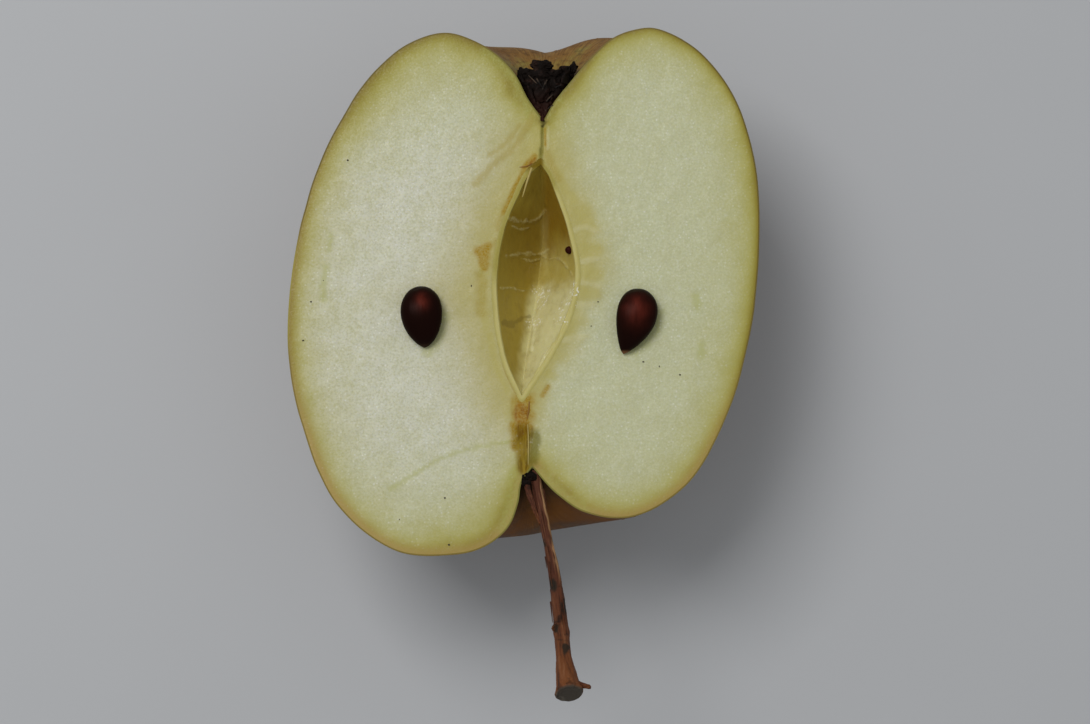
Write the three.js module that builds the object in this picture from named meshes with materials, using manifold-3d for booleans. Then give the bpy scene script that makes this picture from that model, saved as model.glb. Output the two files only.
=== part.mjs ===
// Half of an apple, cut from calyx to stem and lying on its round back.
// Millimetres, +Z up. The origin is the middle of the small flat spot under
// the back. +Y runs along the fruit to its calyx end, -Y to its stem end, and
// the cut face looks straight up.

import * as THREE from 'three';
import { mergeVertices } from 'three/addons/utils/BufferGeometryUtils.js';
import Module from 'manifold-3d';

const wasm = await Module();
wasm.setup();

// ---------------------------------------------------------------- dimensions

const FACE_HEIGHT = 30.1;          // cut face above the flat spot
const AXIS_X = 0.55;               // where the fruit's axis crosses the middle
const AXIS_LEAN = 0.032;           // how far the axis leans to +X per mm of +Y
const SPOT_AT = [-1.3, 0.05];      // flat spot, in the outlines' own coordinates
const BODY_AROUND = 68;            // facets round the whole fruit
const BODY_ALONG = 60;             // facets from calyx to stem

// Each side of the cut: distance from the axis, height along the fruit.
const LEFT_CHEEK = [
  [0, 22.2], [2.1, 25.2], [4.1, 28.7], [7.7, 32.0], [13.2, 34.0],
  [18.5, 32.4], [22.5, 28.8], [27.0, 22.0], [29.9, 14.6], [32.1, 4.6],
  [32.6, -7.2], [30.3, -18.0], [25.5, -28.2], [17.6, -34.3], [11.2, -35.0],
  [6.2, -34.0], [2.9, -31.4], [1.7, -28.2], [1.3, -25.4], [0, -23.4],
];
const RIGHT_CHEEK = [
  [0, 22.2], [1.3, 24.8], [3.4, 27.6], [5.5, 30.2], [8.4, 33.1],
  [11.4, 34.4], [14.5, 34.6], [19.8, 31.9], [24.9, 25.8], [28.1, 16.6],
  [28.9, 5.5], [27.9, -6.6], [25.2, -16.8], [20.4, -25.6], [13.2, -30.0],
  [6.8, -29.3], [3.4, -27.1], [1.5, -25.2], [0, -23.4],
];

// Five soft ribs, strongest round the calyx, none on the cut itself.
const RIB_COUNT = 5;
const RIB_TURN = 0.96;             // where the first rib stands, radians
const RIB_AT_CALYX = 0.06;         // share of the radius
const RIB_AT_STEM = 0.008;
const RIB_RISE = 2.0;              // how much higher a shoulder stands on a rib
const RIB_PINCH = 0.7;             // 0 is a wave, 1 has a sharp dip between two ribs
const LEFT_SHARE = 1.2;            // how much of that is gone on the left
const STEM_DIP_LEFT = 1.4;         // how much the back falls short at the stem
const STEM_DIP_RIGHT = 0.6;

const CORE_LINING = 0.7;           // thickness of the parchment round the core
const LINING_FIT = 0.03;           // clearance behind it
const CORE_DEPTH = 8.8;
const CORE_SHALLOWING = 0.4;       // share of that depth gone towards the stem
const CORE_AROUND = 28;
const CORE_ALONG = 20;
const CORE_ROUNDING = 1.25;        // 1 is a sharp V across, 2 a parabola
const CORE_FULLNESS = 0.7;         // how blunt the hollow's two ends are
const CORE_LEFT_RIM = [
  [0.9, 16.4], [-0.7, 15.0], [-2.1, 12.3], [-3.9, 7.8], [-4.9, 1.4], [-4.6, -4.6],
  [-3.6, -9.6], [-1.6, -14.1],
];
const CORE_RIGHT_RIM = [
  [0.9, 16.4], [1.8, 15.2], [2.8, 12.8], [4.6, 7.4], [5.5, 1.8], [4.4, -3.8],
  [2.0, -8.7], [-1.6, -14.1],
];
const CORE_FLOOR = [[0.9, 16.4], [1.2, 9.0], [0.3, 0], [-1.0, -8.0], [-1.6, -14.1]];

const CALYX_TIP = [1.0, 21.6];     // lower end of the calyx funnel
const CALYX_LENGTH = 6.6;
const CALYX_TIP_RADIUS = 0.3;
const CALYX_MOUTH_RADIUS = 3.7;
const CALYX_FLARE = 1.25;          // 1 is a straight cone
const CALYX_WALL = 0.8;
const CALYX_LEAN = 0.075;          // sideways lean of its axis per mm
const SEPAL_COUNT = 5;
const SEPAL_TURN = 0.5 * Math.PI;  // one sepal stands straight at the back
const SEPAL_HEIGHT = 2.3;
const SEPAL_CURL = 0.3;            // how far a sepal bends outward
const CALYX_PROUD = 0.6;           // how far it stands out of the cut face
const CALYX_FIT = 0.08;            // clearance in the flesh
const CALYX_AROUND = 30;
const CALYX_ALONG = 9;

// Middle of the stem, from its root in the flesh to the twig end.
const STEM_PATH = [
  [0.1, -22.9, -1.1], [0.5, -26.6, -0.4], [1.5, -31.4, 1.6], [2.6, -37.2, 4.7],
  [3.4, -43.2, 8.4], [3.8, -48.0, 11.8], [4.5, -52.7, 15.4],
];
const STEM_RADII = [0.8, 0.8, 0.72, 0.93, 1.04, 1.12, 1.82];
const STEM_AROUND = 13;
const STEM_ALONG = 24;
const STEM_FIT = 0.12;             // clearance of its root in the flesh
const SPUR_LENGTH = 3.4;           // leftover twig beside the stem's end
const SPUR_RADIUS = 0.7;
const SPUR_AIM = [0.88, -0.2, 0.38];
const SPUR_BACK = 2.0;             // from the stem's end back to the spur's root
const SPUR_AROUND = 8;
const SPUR_ALONG = 3;

const SEED_GAP = 0.05;             // between a loose seed and the face
const SEEDS = {                   // taper draws the tip out, sway moves it sideways
  seed_left: { at: [-14.72, -3.8], length: 8.15, width: 5.55, depth: 3.0, taper: 0.65, sway: 0.45 },
  seed_right: { at: [13.58, -4.38], length: 8.7, width: 5.45, depth: 3.1, taper: 0.75, sway: -1.85 },
};
const SEED_AROUND = 16;
const SEED_ALONG = 13;
const SEED_BLUNTNESS = 0.5;        // how round the upper end of a seed is
const SEED_TIP_AT = [4.75, 5.2, -1.0];
const SEED_TIP_SIZE = [0.75, 0.6, 0.6];
const SEED_TIP_FIT = 0.04;

const FINISHES = {
  fruit_half: { color: 0xc9c99a, roughness: 0.55 },
  core_lining: { color: 0xb9ab55, roughness: 0.4 },
  calyx: { color: 0x2b1f1a, roughness: 0.85 },
  stem: { color: 0x6b3f2c, roughness: 0.8 },
  seed_left: { color: 0x3a1411, roughness: 0.25 },
  seed_right: { color: 0x3a1411, roughness: 0.25 },
  seed_tip: { color: 0x3a1411, roughness: 0.3 },
};

// -------------------------------------------------------------------- shaping

const mix = THREE.MathUtils.lerp;
const ease = THREE.MathUtils.smoothstep;

// A smooth curve through points given as [a, b] or [a, b, c].
function smoothCurve(points) {
  return new THREE.CatmullRomCurve3(
    points.map(([a, b, c = 0]) => new THREE.Vector3(a, b, c)),
    false,
    'centripetal',
  );
}

// A closed skin: a sphere whose every point goes where place says, by its
// share of the way from pole to pole and its angle round them.
function closedSkin(around, along, place) {
  const geometry = new THREE.SphereGeometry(1, around, along);
  const { position, uv } = geometry.attributes;
  for (let i = 0; i < position.count; i += 1) {
    const share = Math.round((1 - uv.getY(i)) * along) / along;
    const turn = 2 * Math.PI * uv.getX(i);
    position.setXYZ(i, ...place(share, turn));
  }
  geometry.deleteAttribute('normal');
  geometry.deleteAttribute('uv');
  return mergeVertices(geometry);
}

function signedVolume(vertices, triangles) {
  let sum = 0;
  const [a, b, c] = [0, 1, 2].map(() => new THREE.Vector3());
  for (let i = 0; i < triangles.length; i += 3) {
    a.fromArray(vertices, 3 * triangles[i]);
    b.fromArray(vertices, 3 * triangles[i + 1]);
    c.fromArray(vertices, 3 * triangles[i + 2]);
    sum += a.dot(b.cross(c)) / 6;
  }
  return sum;
}

// The solid inside a closed geometry, whichever way its faces are wound.
function solidOf(geometry) {
  const vertProperties = new Float32Array(geometry.attributes.position.array);
  const triVerts = new Uint32Array(geometry.index.array);
  if (signedVolume(vertProperties, triVerts) < 0) {
    triVerts.reverse();
  }
  return new wasm.Manifold(new wasm.Mesh({ numProp: 3, vertProperties, triVerts }));
}

function geometryOf(solid) {
  const { vertProperties, triVerts } = solid.getMesh();
  const geometry = new THREE.BufferGeometry();
  geometry.setAttribute('position', new THREE.BufferAttribute(vertProperties, 3));
  geometry.setIndex(new THREE.BufferAttribute(triVerts, 1));
  geometry.computeVertexNormals();
  return geometry;
}

// A block wide enough to trim the fruit, from one height to another.
function slab(bottom, top) {
  const span = 200;
  const block = new THREE.BoxGeometry(span, span, top - bottom);
  block.translate(0, 0, (top + bottom) / 2);
  block.deleteAttribute('normal');
  block.deleteAttribute('uv');
  return solidOf(mergeVertices(block));
}

const aboveFace = slab(FACE_HEIGHT, FACE_HEIGHT + 100);

// ----------------------------------------------------------------- fruit body

const leftCheek = smoothCurve(LEFT_CHEEK).getSpacedPoints(BODY_ALONG);
const rightCheek = smoothCurve(RIGHT_CHEEK).getSpacedPoints(BODY_ALONG);

// The outside of the uncut fruit. The angle is 0 on the right of the cut,
// half a turn on its left, and a quarter turn at the back.
function cheekPoint(share, turn) {
  const ring = Math.round(share * BODY_ALONG);
  const toLeft = (1 - Math.cos(turn)) / 2;
  const toBack = Math.sin(turn) ** 2;
  const wave = Math.cos(RIB_COUNT * (turn - RIB_TURN));
  const pinched = 2 * Math.sqrt((1 + wave) / 2) - 1;
  const rib = toBack * wave;
  const ribDepth = mix(RIB_AT_CALYX, RIB_AT_STEM, ease(share, 0.1, 0.55));
  const shoulder = 1 - ease(share, 0.1, 0.4);
  const rise = RIB_RISE * toBack * mix(wave, pinched, RIB_PINCH) * (1 - LEFT_SHARE * toLeft);
  const stemDip = mix(STEM_DIP_RIGHT, STEM_DIP_LEFT, ease(toLeft, 0.5, 0.8));
  const dip = stemDip * toBack * ease(share, 0.7, 0.85);
  let radius = mix(rightCheek[ring].x, leftCheek[ring].x, toLeft);
  let height = mix(rightCheek[ring].y, leftCheek[ring].y, toLeft);
  radius *= 1 + rib * ribDepth * ease(share, 0, 0.1);
  height += rise * shoulder * ease(share, 0.02, 0.16);
  height += dip * (1 - ease(share, 0.88, 1));
  return [
    AXIS_X + AXIS_LEAN * height + radius * Math.cos(turn),
    height,
    FACE_HEIGHT - radius * Math.sin(turn),
  ];
}

// ----------------------------------------------------------------------- core

const coreLeft = smoothCurve(CORE_LEFT_RIM).getSpacedPoints(CORE_ALONG);
const coreRight = smoothCurve(CORE_RIGHT_RIM).getSpacedPoints(CORE_ALONG);
const coreFloor = smoothCurve(CORE_FLOOR).getSpacedPoints(CORE_ALONG);

// The seed chamber as a solid, grown by some thickness on every wall. The
// walls run from the two rims to the floor line, and a low lid over the cut
// face closes it.
function coreHollow(grow) {
  return solidOf(closedSkin(CORE_AROUND, CORE_ALONG, (share, turn) => {
    const ring = Math.round(share * CORE_ALONG);
    const side = Math.cos(turn);
    const reach = Math.abs(side);
    const rim = side < 0 ? coreLeft[ring] : coreRight[ring];
    const endward = 1 - 2 * share;
    const fullness = (1 - endward ** 2) ** CORE_FULLNESS;
    const shallow = 1 - CORE_SHALLOWING * ease(share, 0.35, 0.75);
    const depth = (CORE_DEPTH * shallow + 1.3 * grow) * fullness;
    const wall = depth * (1 - reach ** CORE_ROUNDING);
    const lid = fullness * -Math.sin(turn);
    return [
      mix(coreFloor[ring].x, rim.x, reach) + grow * side * Math.sqrt(fullness),
      mix(coreFloor[ring].y, rim.y, reach) + 1.3 * grow * endward ** 3,
      FACE_HEIGHT + (Math.sin(turn) > 0 ? -wall : lid),
    ];
  }));
}

// ---------------------------------------------------------------------- calyx

// The filled funnel of the calyx, with its rim raised into five sepals. A
// negative growth gives the hollow that the sepals stand around.
function calyxFunnel(grow) {
  const last = CALYX_ALONG - 1;
  return solidOf(closedSkin(CALYX_AROUND, CALYX_ALONG, (share, turn) => {
    const ring = Math.round(share * CALYX_ALONG);
    const up = Math.min(1, Math.max(0, (ring - 1) / (last - 1)));
    const lobe = 0.5 + 0.5 * Math.cos(SEPAL_COUNT * (turn - SEPAL_TURN));
    const sepal = lobe * ease(up, 0.5, 1);
    const onWall = ring > 0 && ring < CALYX_ALONG ? 1 : 0;
    const cone = mix(CALYX_TIP_RADIUS, CALYX_MOUTH_RADIUS, up ** CALYX_FLARE);
    const wallRadius = cone + SEPAL_CURL * sepal;
    const radius = onWall * Math.max(0.05, wallRadius + grow);
    const height = CALYX_LENGTH * up + SEPAL_HEIGHT * sepal * onWall;
    const [tipX, tipY] = CALYX_TIP;
    return [
      tipX + CALYX_LEAN * height + radius * Math.cos(turn),
      tipY + height - (ring > 0 ? 0 : grow),
      FACE_HEIGHT - radius * Math.sin(turn),
    ];
  }));
}

function calyxSolid() {
  const hollow = calyxFunnel(-CALYX_WALL).translate([0, CALYX_WALL * 1.6, 0]);
  const front = slab(FACE_HEIGHT + CALYX_PROUD, FACE_HEIGHT + 100);
  return calyxFunnel(0).subtract(hollow).subtract(front);
}

// ----------------------------------------------------------------------- stem

const stemPath = smoothCurve(
  STEM_PATH.map(([x, y, rise]) => [x, y, FACE_HEIGHT + rise]),
);
const stemRadius = smoothCurve(STEM_RADII.map((radius, i) => [i, radius]));

// A rod along a curve with flat ends, its radius given by its share of the way.
function rod(path, around, along, radiusAt) {
  const frames = path.computeFrenetFrames(along);
  return solidOf(closedSkin(around, along + 2, (share, turn) => {
    const ring = Math.round(share * (along + 2));
    const step = THREE.MathUtils.clamp(ring - 1, 0, along);
    const onEnd = ring === 0 || ring === along + 2;
    const radius = onEnd ? 0 : radiusAt(step / along);
    return path.getPointAt(step / along)
      .addScaledVector(frames.normals[step], radius * Math.cos(turn))
      .addScaledVector(frames.binormals[step], radius * Math.sin(turn))
      .toArray();
  }));
}

function stemRod(grow) {
  return rod(stemPath, STEM_AROUND, STEM_ALONG, (share) => (
    stemRadius.getPoint(share).y + grow
  ));
}

function stemSolid() {
  const root = stemPath.getPointAt(1 - SPUR_BACK / stemPath.getLength());
  const aim = new THREE.Vector3(...SPUR_AIM).normalize();
  const end = root.clone().addScaledVector(aim, SPUR_LENGTH);
  const spurPath = new THREE.LineCurve3(root, end);
  const spur = rod(spurPath, SPUR_AROUND, SPUR_ALONG, (share) => (
    mix(SPUR_RADIUS, SPUR_RADIUS / 2, share)
  ));
  return stemRod(0).add(spur);
}

// ---------------------------------------------------------------------- seeds

// A flattened teardrop, blunt at +Y and drawn out to a tip at -Y, lying on
// the plane z = 0.
function seedGeometry({ length, width, depth, taper, sway }) {
  const widest = SEED_BLUNTNESS / (SEED_BLUNTNESS + taper);
  return closedSkin(SEED_AROUND, SEED_ALONG, (share, turn) => {
    const down = (1 - Math.cos(Math.PI * share)) / 2;
    const upper = (down / widest) ** SEED_BLUNTNESS;
    const girth = upper * ((1 - down) / (1 - widest)) ** taper;
    const halfDepth = girth * depth / 2;
    return [
      sway * down ** 3 + girth * width / 2 * Math.cos(turn),
      length * (0.5 - down),
      mix(depth / 2, halfDepth, 0.75) + halfDepth * Math.sin(turn),
    ];
  });
}

function seedTipSolid(grow) {
  const tip = closedSkin(12, 8, (share, turn) => {
    const around = Math.sin(Math.PI * share);
    return [
      -Math.cos(Math.PI * share) * (SEED_TIP_SIZE[0] + grow),
      around * Math.cos(turn) * (SEED_TIP_SIZE[1] + grow),
      around * Math.sin(turn) * (SEED_TIP_SIZE[2] + grow),
    ];
  });
  const [x, y, rise] = SEED_TIP_AT;
  tip.translate(x, y, FACE_HEIGHT + rise);
  return solidOf(tip);
}

// ------------------------------------------------------------------- the half

function fruitSolid() {
  return solidOf(closedSkin(BODY_AROUND, BODY_ALONG, cheekPoint))
    .subtract(aboveFace)
    .subtract(slab(-100, 0))
    .subtract(coreHollow(CORE_LINING + LINING_FIT))
    .subtract(calyxFunnel(CALYX_FIT))
    .subtract(stemRod(STEM_FIT))
    .subtract(seedTipSolid(SEED_TIP_FIT));
}

function liningSolid() {
  return coreHollow(CORE_LINING)
    .subtract(coreHollow(0))
    .subtract(aboveFace)
    .subtract(seedTipSolid(SEED_TIP_FIT));
}

const half = new THREE.Group();

function addPiece(name, geometry) {
  const material = new THREE.MeshStandardMaterial({ metalness: 0, ...FINISHES[name] });
  const mesh = new THREE.Mesh(geometry, material);
  mesh.name = name;
  half.add(mesh);
  return mesh;
}

addPiece('fruit_half', geometryOf(fruitSolid()));
addPiece('core_lining', geometryOf(liningSolid()));
addPiece('calyx', geometryOf(calyxSolid()));
addPiece('stem', geometryOf(stemSolid()));
addPiece('seed_tip', geometryOf(seedTipSolid(0)));
for (const [name, seed] of Object.entries(SEEDS)) {
  const mesh = addPiece(name, geometryOf(solidOf(seedGeometry(seed))));
  mesh.position.set(...seed.at, FACE_HEIGHT + SEED_GAP);
}

half.position.set(-SPOT_AT[0], -SPOT_AT[1], 0);

export default half;
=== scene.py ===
"""Half an apple: moist flesh, russet skin, open seed chamber, dried calyx, stalk and two pips."""

import itertools
import math

import bmesh
import bpy
import numpy as np
from bpy.props import FloatProperty, FloatVectorProperty, IntProperty, PointerProperty
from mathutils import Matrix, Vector
from mathutils.geometry import delaunay_2d_cdt


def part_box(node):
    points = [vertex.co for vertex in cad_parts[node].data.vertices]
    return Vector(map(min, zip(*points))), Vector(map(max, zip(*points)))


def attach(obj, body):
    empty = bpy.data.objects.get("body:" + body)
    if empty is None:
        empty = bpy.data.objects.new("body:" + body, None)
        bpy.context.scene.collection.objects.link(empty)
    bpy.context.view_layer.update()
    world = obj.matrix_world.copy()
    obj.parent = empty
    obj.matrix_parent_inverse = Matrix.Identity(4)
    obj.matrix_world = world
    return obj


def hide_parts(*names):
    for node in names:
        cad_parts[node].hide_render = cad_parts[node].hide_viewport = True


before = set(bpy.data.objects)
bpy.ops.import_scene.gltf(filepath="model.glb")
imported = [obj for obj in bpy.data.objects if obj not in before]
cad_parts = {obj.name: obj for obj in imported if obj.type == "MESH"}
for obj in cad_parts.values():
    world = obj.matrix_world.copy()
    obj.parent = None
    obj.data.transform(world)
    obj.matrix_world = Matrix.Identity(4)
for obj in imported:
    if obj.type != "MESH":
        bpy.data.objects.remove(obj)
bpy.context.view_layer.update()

bl_info = {
    "name": "Apple Half",
    "version": (1, 0, 0),
    "blender": (4, 5, 0),
    "location": "3D Viewport > Sidebar > Apple Half",
    "description": "Builds a halved apple with its core, calyx, stalk and pips",
    "category": "Object",
}

MM = 0.001

# Sizes below are millimetres. Outlines are [across, along] in the fruit's own frame, whose
# zero lies SHIFT away from the middle of the flat spot that the fruit rests on.
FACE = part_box("fruit_half")[1][2] / MM
SHIFT = np.array([1.3, -0.05, 0.0])
AXIS_X = 0.55
AXIS_LEAN = 0.032
LEFT_CHEEK = [
    [0, 22.2], [2.1, 25.2], [4.1, 28.7], [7.7, 32.0], [13.2, 34.0],
    [18.5, 32.4], [22.5, 28.8], [27.0, 22.0], [29.9, 14.6], [32.1, 4.6],
    [32.6, -7.2], [30.3, -18.0], [25.5, -28.2], [17.6, -34.3], [11.2, -35.0],
    [6.2, -34.0], [2.9, -31.4], [1.7, -28.2], [1.3, -25.4], [0, -23.4],
]
RIGHT_CHEEK = [
    [0, 22.2], [1.3, 24.8], [3.4, 27.6], [5.5, 30.2], [8.4, 33.1],
    [11.4, 34.4], [14.5, 34.6], [19.8, 31.9], [24.9, 25.8], [28.1, 16.6],
    [28.9, 5.5], [27.9, -6.6], [25.2, -16.8], [20.4, -25.6], [13.2, -30.0],
    [6.8, -29.3], [3.4, -27.1], [1.5, -25.2], [0, -23.4],
]
RIB_COUNT = 5
RIB_TURN = 0.96
RIB_AT_CALYX = 0.06
RIB_AT_STEM = 0.008
RIB_RISE = 2.0
RIB_PINCH = 0.7
LEFT_SHARE = 1.2
STEM_DIP_LEFT = 1.4
STEM_DIP_RIGHT = 0.6
SKIN_ALONG = 320
SKIN_AROUND = 124
SKIN_DROP = 0.05
SKIN_WIDTH = 0.2
SHARP = math.radians(50)
# No raised pores this near to the foot of the stalk.
BARE_RADIUS = 8.0
# Spacing of the points on the cut face, and how near to the core it starts and ends.
FACE_STEPS = ((0.44, 3.4, 1e3), (0.25, 0.9, 3.4), (0.17, 0.0, 0.9))
CORE_LINE = [[2.2, 22.0], [2.2, 16.0], [1.8, 0.0], [0.2, -14.0], [0.4, -24.0]]

CORE_DEPTH = 8.8
CORE_SHALLOWING = 0.4
CORE_ROUNDING = 1.25
CREASE = 0.22
CORE_FULLNESS = 0.7
CORE_LEFT = [
    [0.9, 16.4], [-0.7, 15.0], [-2.1, 12.3], [-3.9, 7.8],
    [-4.9, 1.4], [-4.6, -4.6], [-3.6, -9.6], [-1.6, -14.1],
]
CORE_RIGHT = [
    [0.9, 16.4], [1.8, 15.2], [2.8, 12.8], [4.6, 7.4],
    [5.5, 1.8], [4.4, -3.8], [2.0, -8.7], [-1.6, -14.1],
]
CORE_FLOOR = [[0.9, 16.4], [1.2, 9.0], [0.3, 0], [-1.0, -8.0], [-1.6, -14.1]]
LINING_ALONG = 260
LINING_AROUND = 140
LINING_WALL = 0.66
# The rim of the lining: [share of the way out, height above the cut face].
LINING_RIM = ((0.12, 0.0), (0.3, 0.015), (0.5, 0.025), (0.7, 0.015), (0.85, 0.01))

CALYX_TIP = np.array([1.0, 21.6])
CALYX_LENGTH = 6.6
CALYX_TIP_RADIUS = 0.3
CALYX_MOUTH_RADIUS = 3.7
CALYX_FLARE = 1.25
CALYX_LEAN = 0.075
CALYX_PROUD = 0.12
# Single leaves: turn round the calyx, length, width, curl, twist, seed.
SEPALS = [
    [0.28, 3.6, 3.0, 1.3, 0.25, 61],
    [1.05, 3.6, 3.0, -2.4, -0.2, 63],
    [1.7, 3.6, 3.2, -1.9, 0.3, 65],
    [2.35, 3.2, 2.8, -2.2, 0.1, 67],
]
# Crumpled leaf bits: middle, radii, tilt, seed.
CALYX_LUMPS = [
    [[1.0, 29.7, -0.9], [2.0, 1.3, 1.2], 0.0, 101],
    [[1.0, 28.5, -0.4], [2.5, 1.3, 0.8], 0.0, 128],
    [[2.9, 28.7, -0.5], [1.4, 1.1, 0.9], 0.3, 119],
    [[-1.1, 28.7, -0.4], [1.4, 1.0, 0.8], 0.1, 125],
    [[-1.5, 28.3, -0.8], [1.1, 1.6, 0.9], 0.35, 104],
    [[-0.4, 27.4, -0.7], [1.4, 1.7, 1.0], 0.2, 107],
    [[4.3, 28.9, -0.6], [1.7, 1.0, 0.9], -0.55, 110],
    [[5.2, 29.4, -0.4], [0.85, 1.25, 0.8], -0.35, 113],
    [[2.9, 27.4, -0.7], [1.7, 1.7, 1.0], -0.3, 116],
    [[1.0, 26.6, -0.5], [1.7, 2.4, 0.9], 0.0, 122],
]
# Near-black crumpled lumps at the stalk's foot: partly dark dried tissue, partly painted shade of the hollow
# there.
FOOT_LUMPS = [
    [[-1.0, -25.1, 0.0], [1.15, 1.3, 0.6], 0.2, 95],
    [[-0.3, -24.7, 0.05], [1.1, 1.05, 0.6], -0.2, 97],
]

STEM_PATH = [
    [0.1, -22.9, -1.1], [0.5, -26.6, -0.4], [1.5, -31.4, 1.6], [2.6, -37.2, 4.7],
    [3.4, -43.2, 8.4], [3.8, -48.0, 11.8], [4.5, -52.7, 15.4],
]
STEM_RADII = [0.8, 0.8, 0.72, 0.93, 1.04, 1.12, 1.82]
TORN_BARK = [[-1.0, -25.3, -0.3], [-0.65, -26.8, 0.0], [-0.05, -28.5, 0.6], [0.85, -31.0, 1.5]]
# Dark spots on the stalk: across, along, radius. The fourth is painted shade for a small hole beside the
# knob; the others are dark blotches.
STALK_SPOTS = [
    [2.5, -38.8, 0.5], [4.0, -41.6, 0.6], [4.1, -46.9, 0.5], [2.9, -44.7, 0.35], [1.3, -33.5, 0.3],
]
KNOB = [[3.0, -44.3, 9.3], [2.62, -44.5, 10.2]]
SPUR_AIM = [0.88, -0.2, 0.38]
SPUR_LENGTH = 3.4
SPUR_RADIUS = 0.7
SPUR_BACK = 2.0
# The stalk's waist: place along it, width and height of the swelling there.
WAIST = [0.72, 0.02, 0.1]

# Each pip's window (across, along, width, length) is the redder patch on its top: partly the coat's own
# colour, partly painted highlight.
PIPS = {
    "seed_left": {
        "at": [-14.72, -3.8], "length": 8.15, "width": 5.55, "depth": 3.0, "taper": 0.65, "sway": 0.45,
        "window": [0.15, 1.9, 0.85, 1.1], "tip": 0.05,
    },
    "seed_right": {
        "at": [13.58, -4.38], "length": 8.7, "width": 5.45, "depth": 3.1, "taper": 0.75, "sway": -1.85,
        "window": [-0.2, 1.3, 1.5, 1.9], "tip": 0.6,
    },
}
PIP_BLUNTNESS = 0.5
PIP_GAP = 0.05
PIP_TIP_AT = [4.75, 5.2, -1.0]
PIP_TIP_SIZE = [0.75, 0.6, 0.6]

# Marks on the cut face: [half width, path], in the part's own frame.
TAN_MARKS = [
    [0.6, [[1.2, 22.8], [-0.1, 20.4], [-1.7, 18.3], [-3.8, 16.6], [-6.4, 13.8]]],
    [0.35, [[-0.6, 21.6], [-2.6, 19.0], [-4.6, 17.6]]],
    [0.7, [[1.6, 16.8], [0.5, 15.8], [-0.7, 13.6], [-2.1, 11.0], [-3.3, 8.0]]],
    [0.35, [[-3.7, 6.4], [-4.0, 2.8], [-3.9, -0.6]]],
    [0.7, [[2.9, 18.0], [3.5, 16.4], [4.4, 14.4]]],
    [0.5, [[-1.35, -14.8], [-1.3, -19.0]]],
    [0.9, [[-5.7, 1.6], [-5.6, -3.2]]],
]
AMBER_MARKS = [
    [0.85, [[-5.9, 4.9], [-4.7, 5.5]]],
    [0.85, [[-5.2, 5.0], [-5.0, 4.2]]],
    [0.75, [[-5.7, 4.4], [-5.2, 3.2]]],
    [0.55, [[-5.1, 4.0], [-5.1, 2.6]]],
    [0.45, [[1.4, 17.5], [0.3, 16.3], [-0.5, 14.7], [-1.6, 12.4], [-2.6, 10.0]]],
    [0.18, [[2.75, 21.2], [2.8, 18.8]]],
    [0.4, [[3.1, -13.0], [2.4, -14.1]]],
    [0.35, [[-2.6, -9.6], [-1.9, -11.8], [-0.7, -14.0]]],
    [1.5, [[-0.1, -14.6], [0.0, -16.4], [-0.2, -19.0]]],
    [0.8, [[-1.2, -18.0], [-1.1, -20.6]]],
]
LEMON_MARKS = [
    [0.6, [[-5.4, 2.9], [-5.4, -1.6], [-5.0, -5.3]]],
    [1.0, [[1.5, 20.6], [1.4, 17.2]]],
    [0.8, [[1.4, 19.0], [1.3, 17.2]]],
    [0.5, [[-4.6, -6.0], [-3.6, -10.2], [-2.2, -13.4]]],
    [0.7, [[4.2, 15.7], [5.5, 12.8]]],
    [0.6, [[6.1, 12.4], [6.6, 11.6]]],
    [1.25, [[7.8, 10.0], [8.8, 8.0]]],
    [1.05, [[8.0, 5.1], [9.6, 5.0]]],
    [1.05, [[8.1, 2.0], [9.5, 1.9]]],
    [1.0, [[8.1, -0.8], [9.3, -0.9]]],
    [1.1, [[6.6, -4.6], [7.6, -4.3]]],
    [0.9, [[4.6, -9.0], [5.4, -9.0]]],
    [0.7, [[3.2, -11.2], [4.2, -11.6]]],
]
RUST_MARKS = [
    [0.35, [[1.4, 17.0], [0.9, 16.5]]],
    [0.13, [[0.6, 16.05], [-0.3, 16.0]]],
    [0.5, [[-0.5, -15.4], [-0.3, -18.0]]],
    [1.0, [[-0.4, -16.2], [-0.3, -18.7]]],
]
STRAND_MARKS = [
    [1.4, [[-0.15, -18.9], [-0.1, -20.6]]],
    [1.1, [[-0.1, -20.4], [0.05, -23.6]]],
]
OLIVE_MARKS = [
    [0.24, [[2.4, 21.4], [2.38, 18.9], [2.2, 16.9]]],
    [0.4, [[2.3, 18.4], [2.2, 17.0]]],
    [0.9, [[1.4, -19.4], [1.35, -20.8], [1.1, -22.8]]],
]
# Near-black marks: the first is painted shade in the small hole at the chamber's top tip, the second the
# calyx's dark brown tail.
DARK_MARKS = [
    [0.2, [[2.24, 16.7], [2.24, 16.45]]],
    [0.3, [[2.4, 22.2], [2.42, 21.5]]],
]
GREEN_MARKS = [
    [0.3, [[0.2, -19.8], [-9.6, -21.8], [-17.5, -26.4]]],
    [0.5, [[-25.3, 6.9], [-25.6, 5.2]]],
    [0.55, [[-25.9, 2.8], [-26.2, 1.6], [-26.2, -1.4]]],
    [0.6, [[22.6, -1.0], [22.8, -2.6]]],
    [0.6, [[23.3, -7.6], [23.1, -9.2]]],
    [1.5, [[3.0, 23.6], [4.3, 26.8], [6.2, 30.0], [9.0, 32.6]]],
    [1.4, [[1.4, 23.2], [-0.2, 26.4], [-2.2, 29.6], [-4.6, 31.6]]],
    [1.2, [[2.6, -24.6], [4.8, -27.4], [8.0, -29.2]]],
    [1.0, [[-1.0, -24.2], [-1.6, -28.0], [-2.6, -31.6]]],
    # The last two are painted shadow: a yellow-green tint on the flesh below and right of each pip.
    [0.9, [[-10.6, -3.6], [-11.2, -6.0], [-12.6, -8.2]]],
    [0.9, [[17.6, -3.4], [16.8, -6.0], [14.4, -8.4]]],
]
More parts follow.
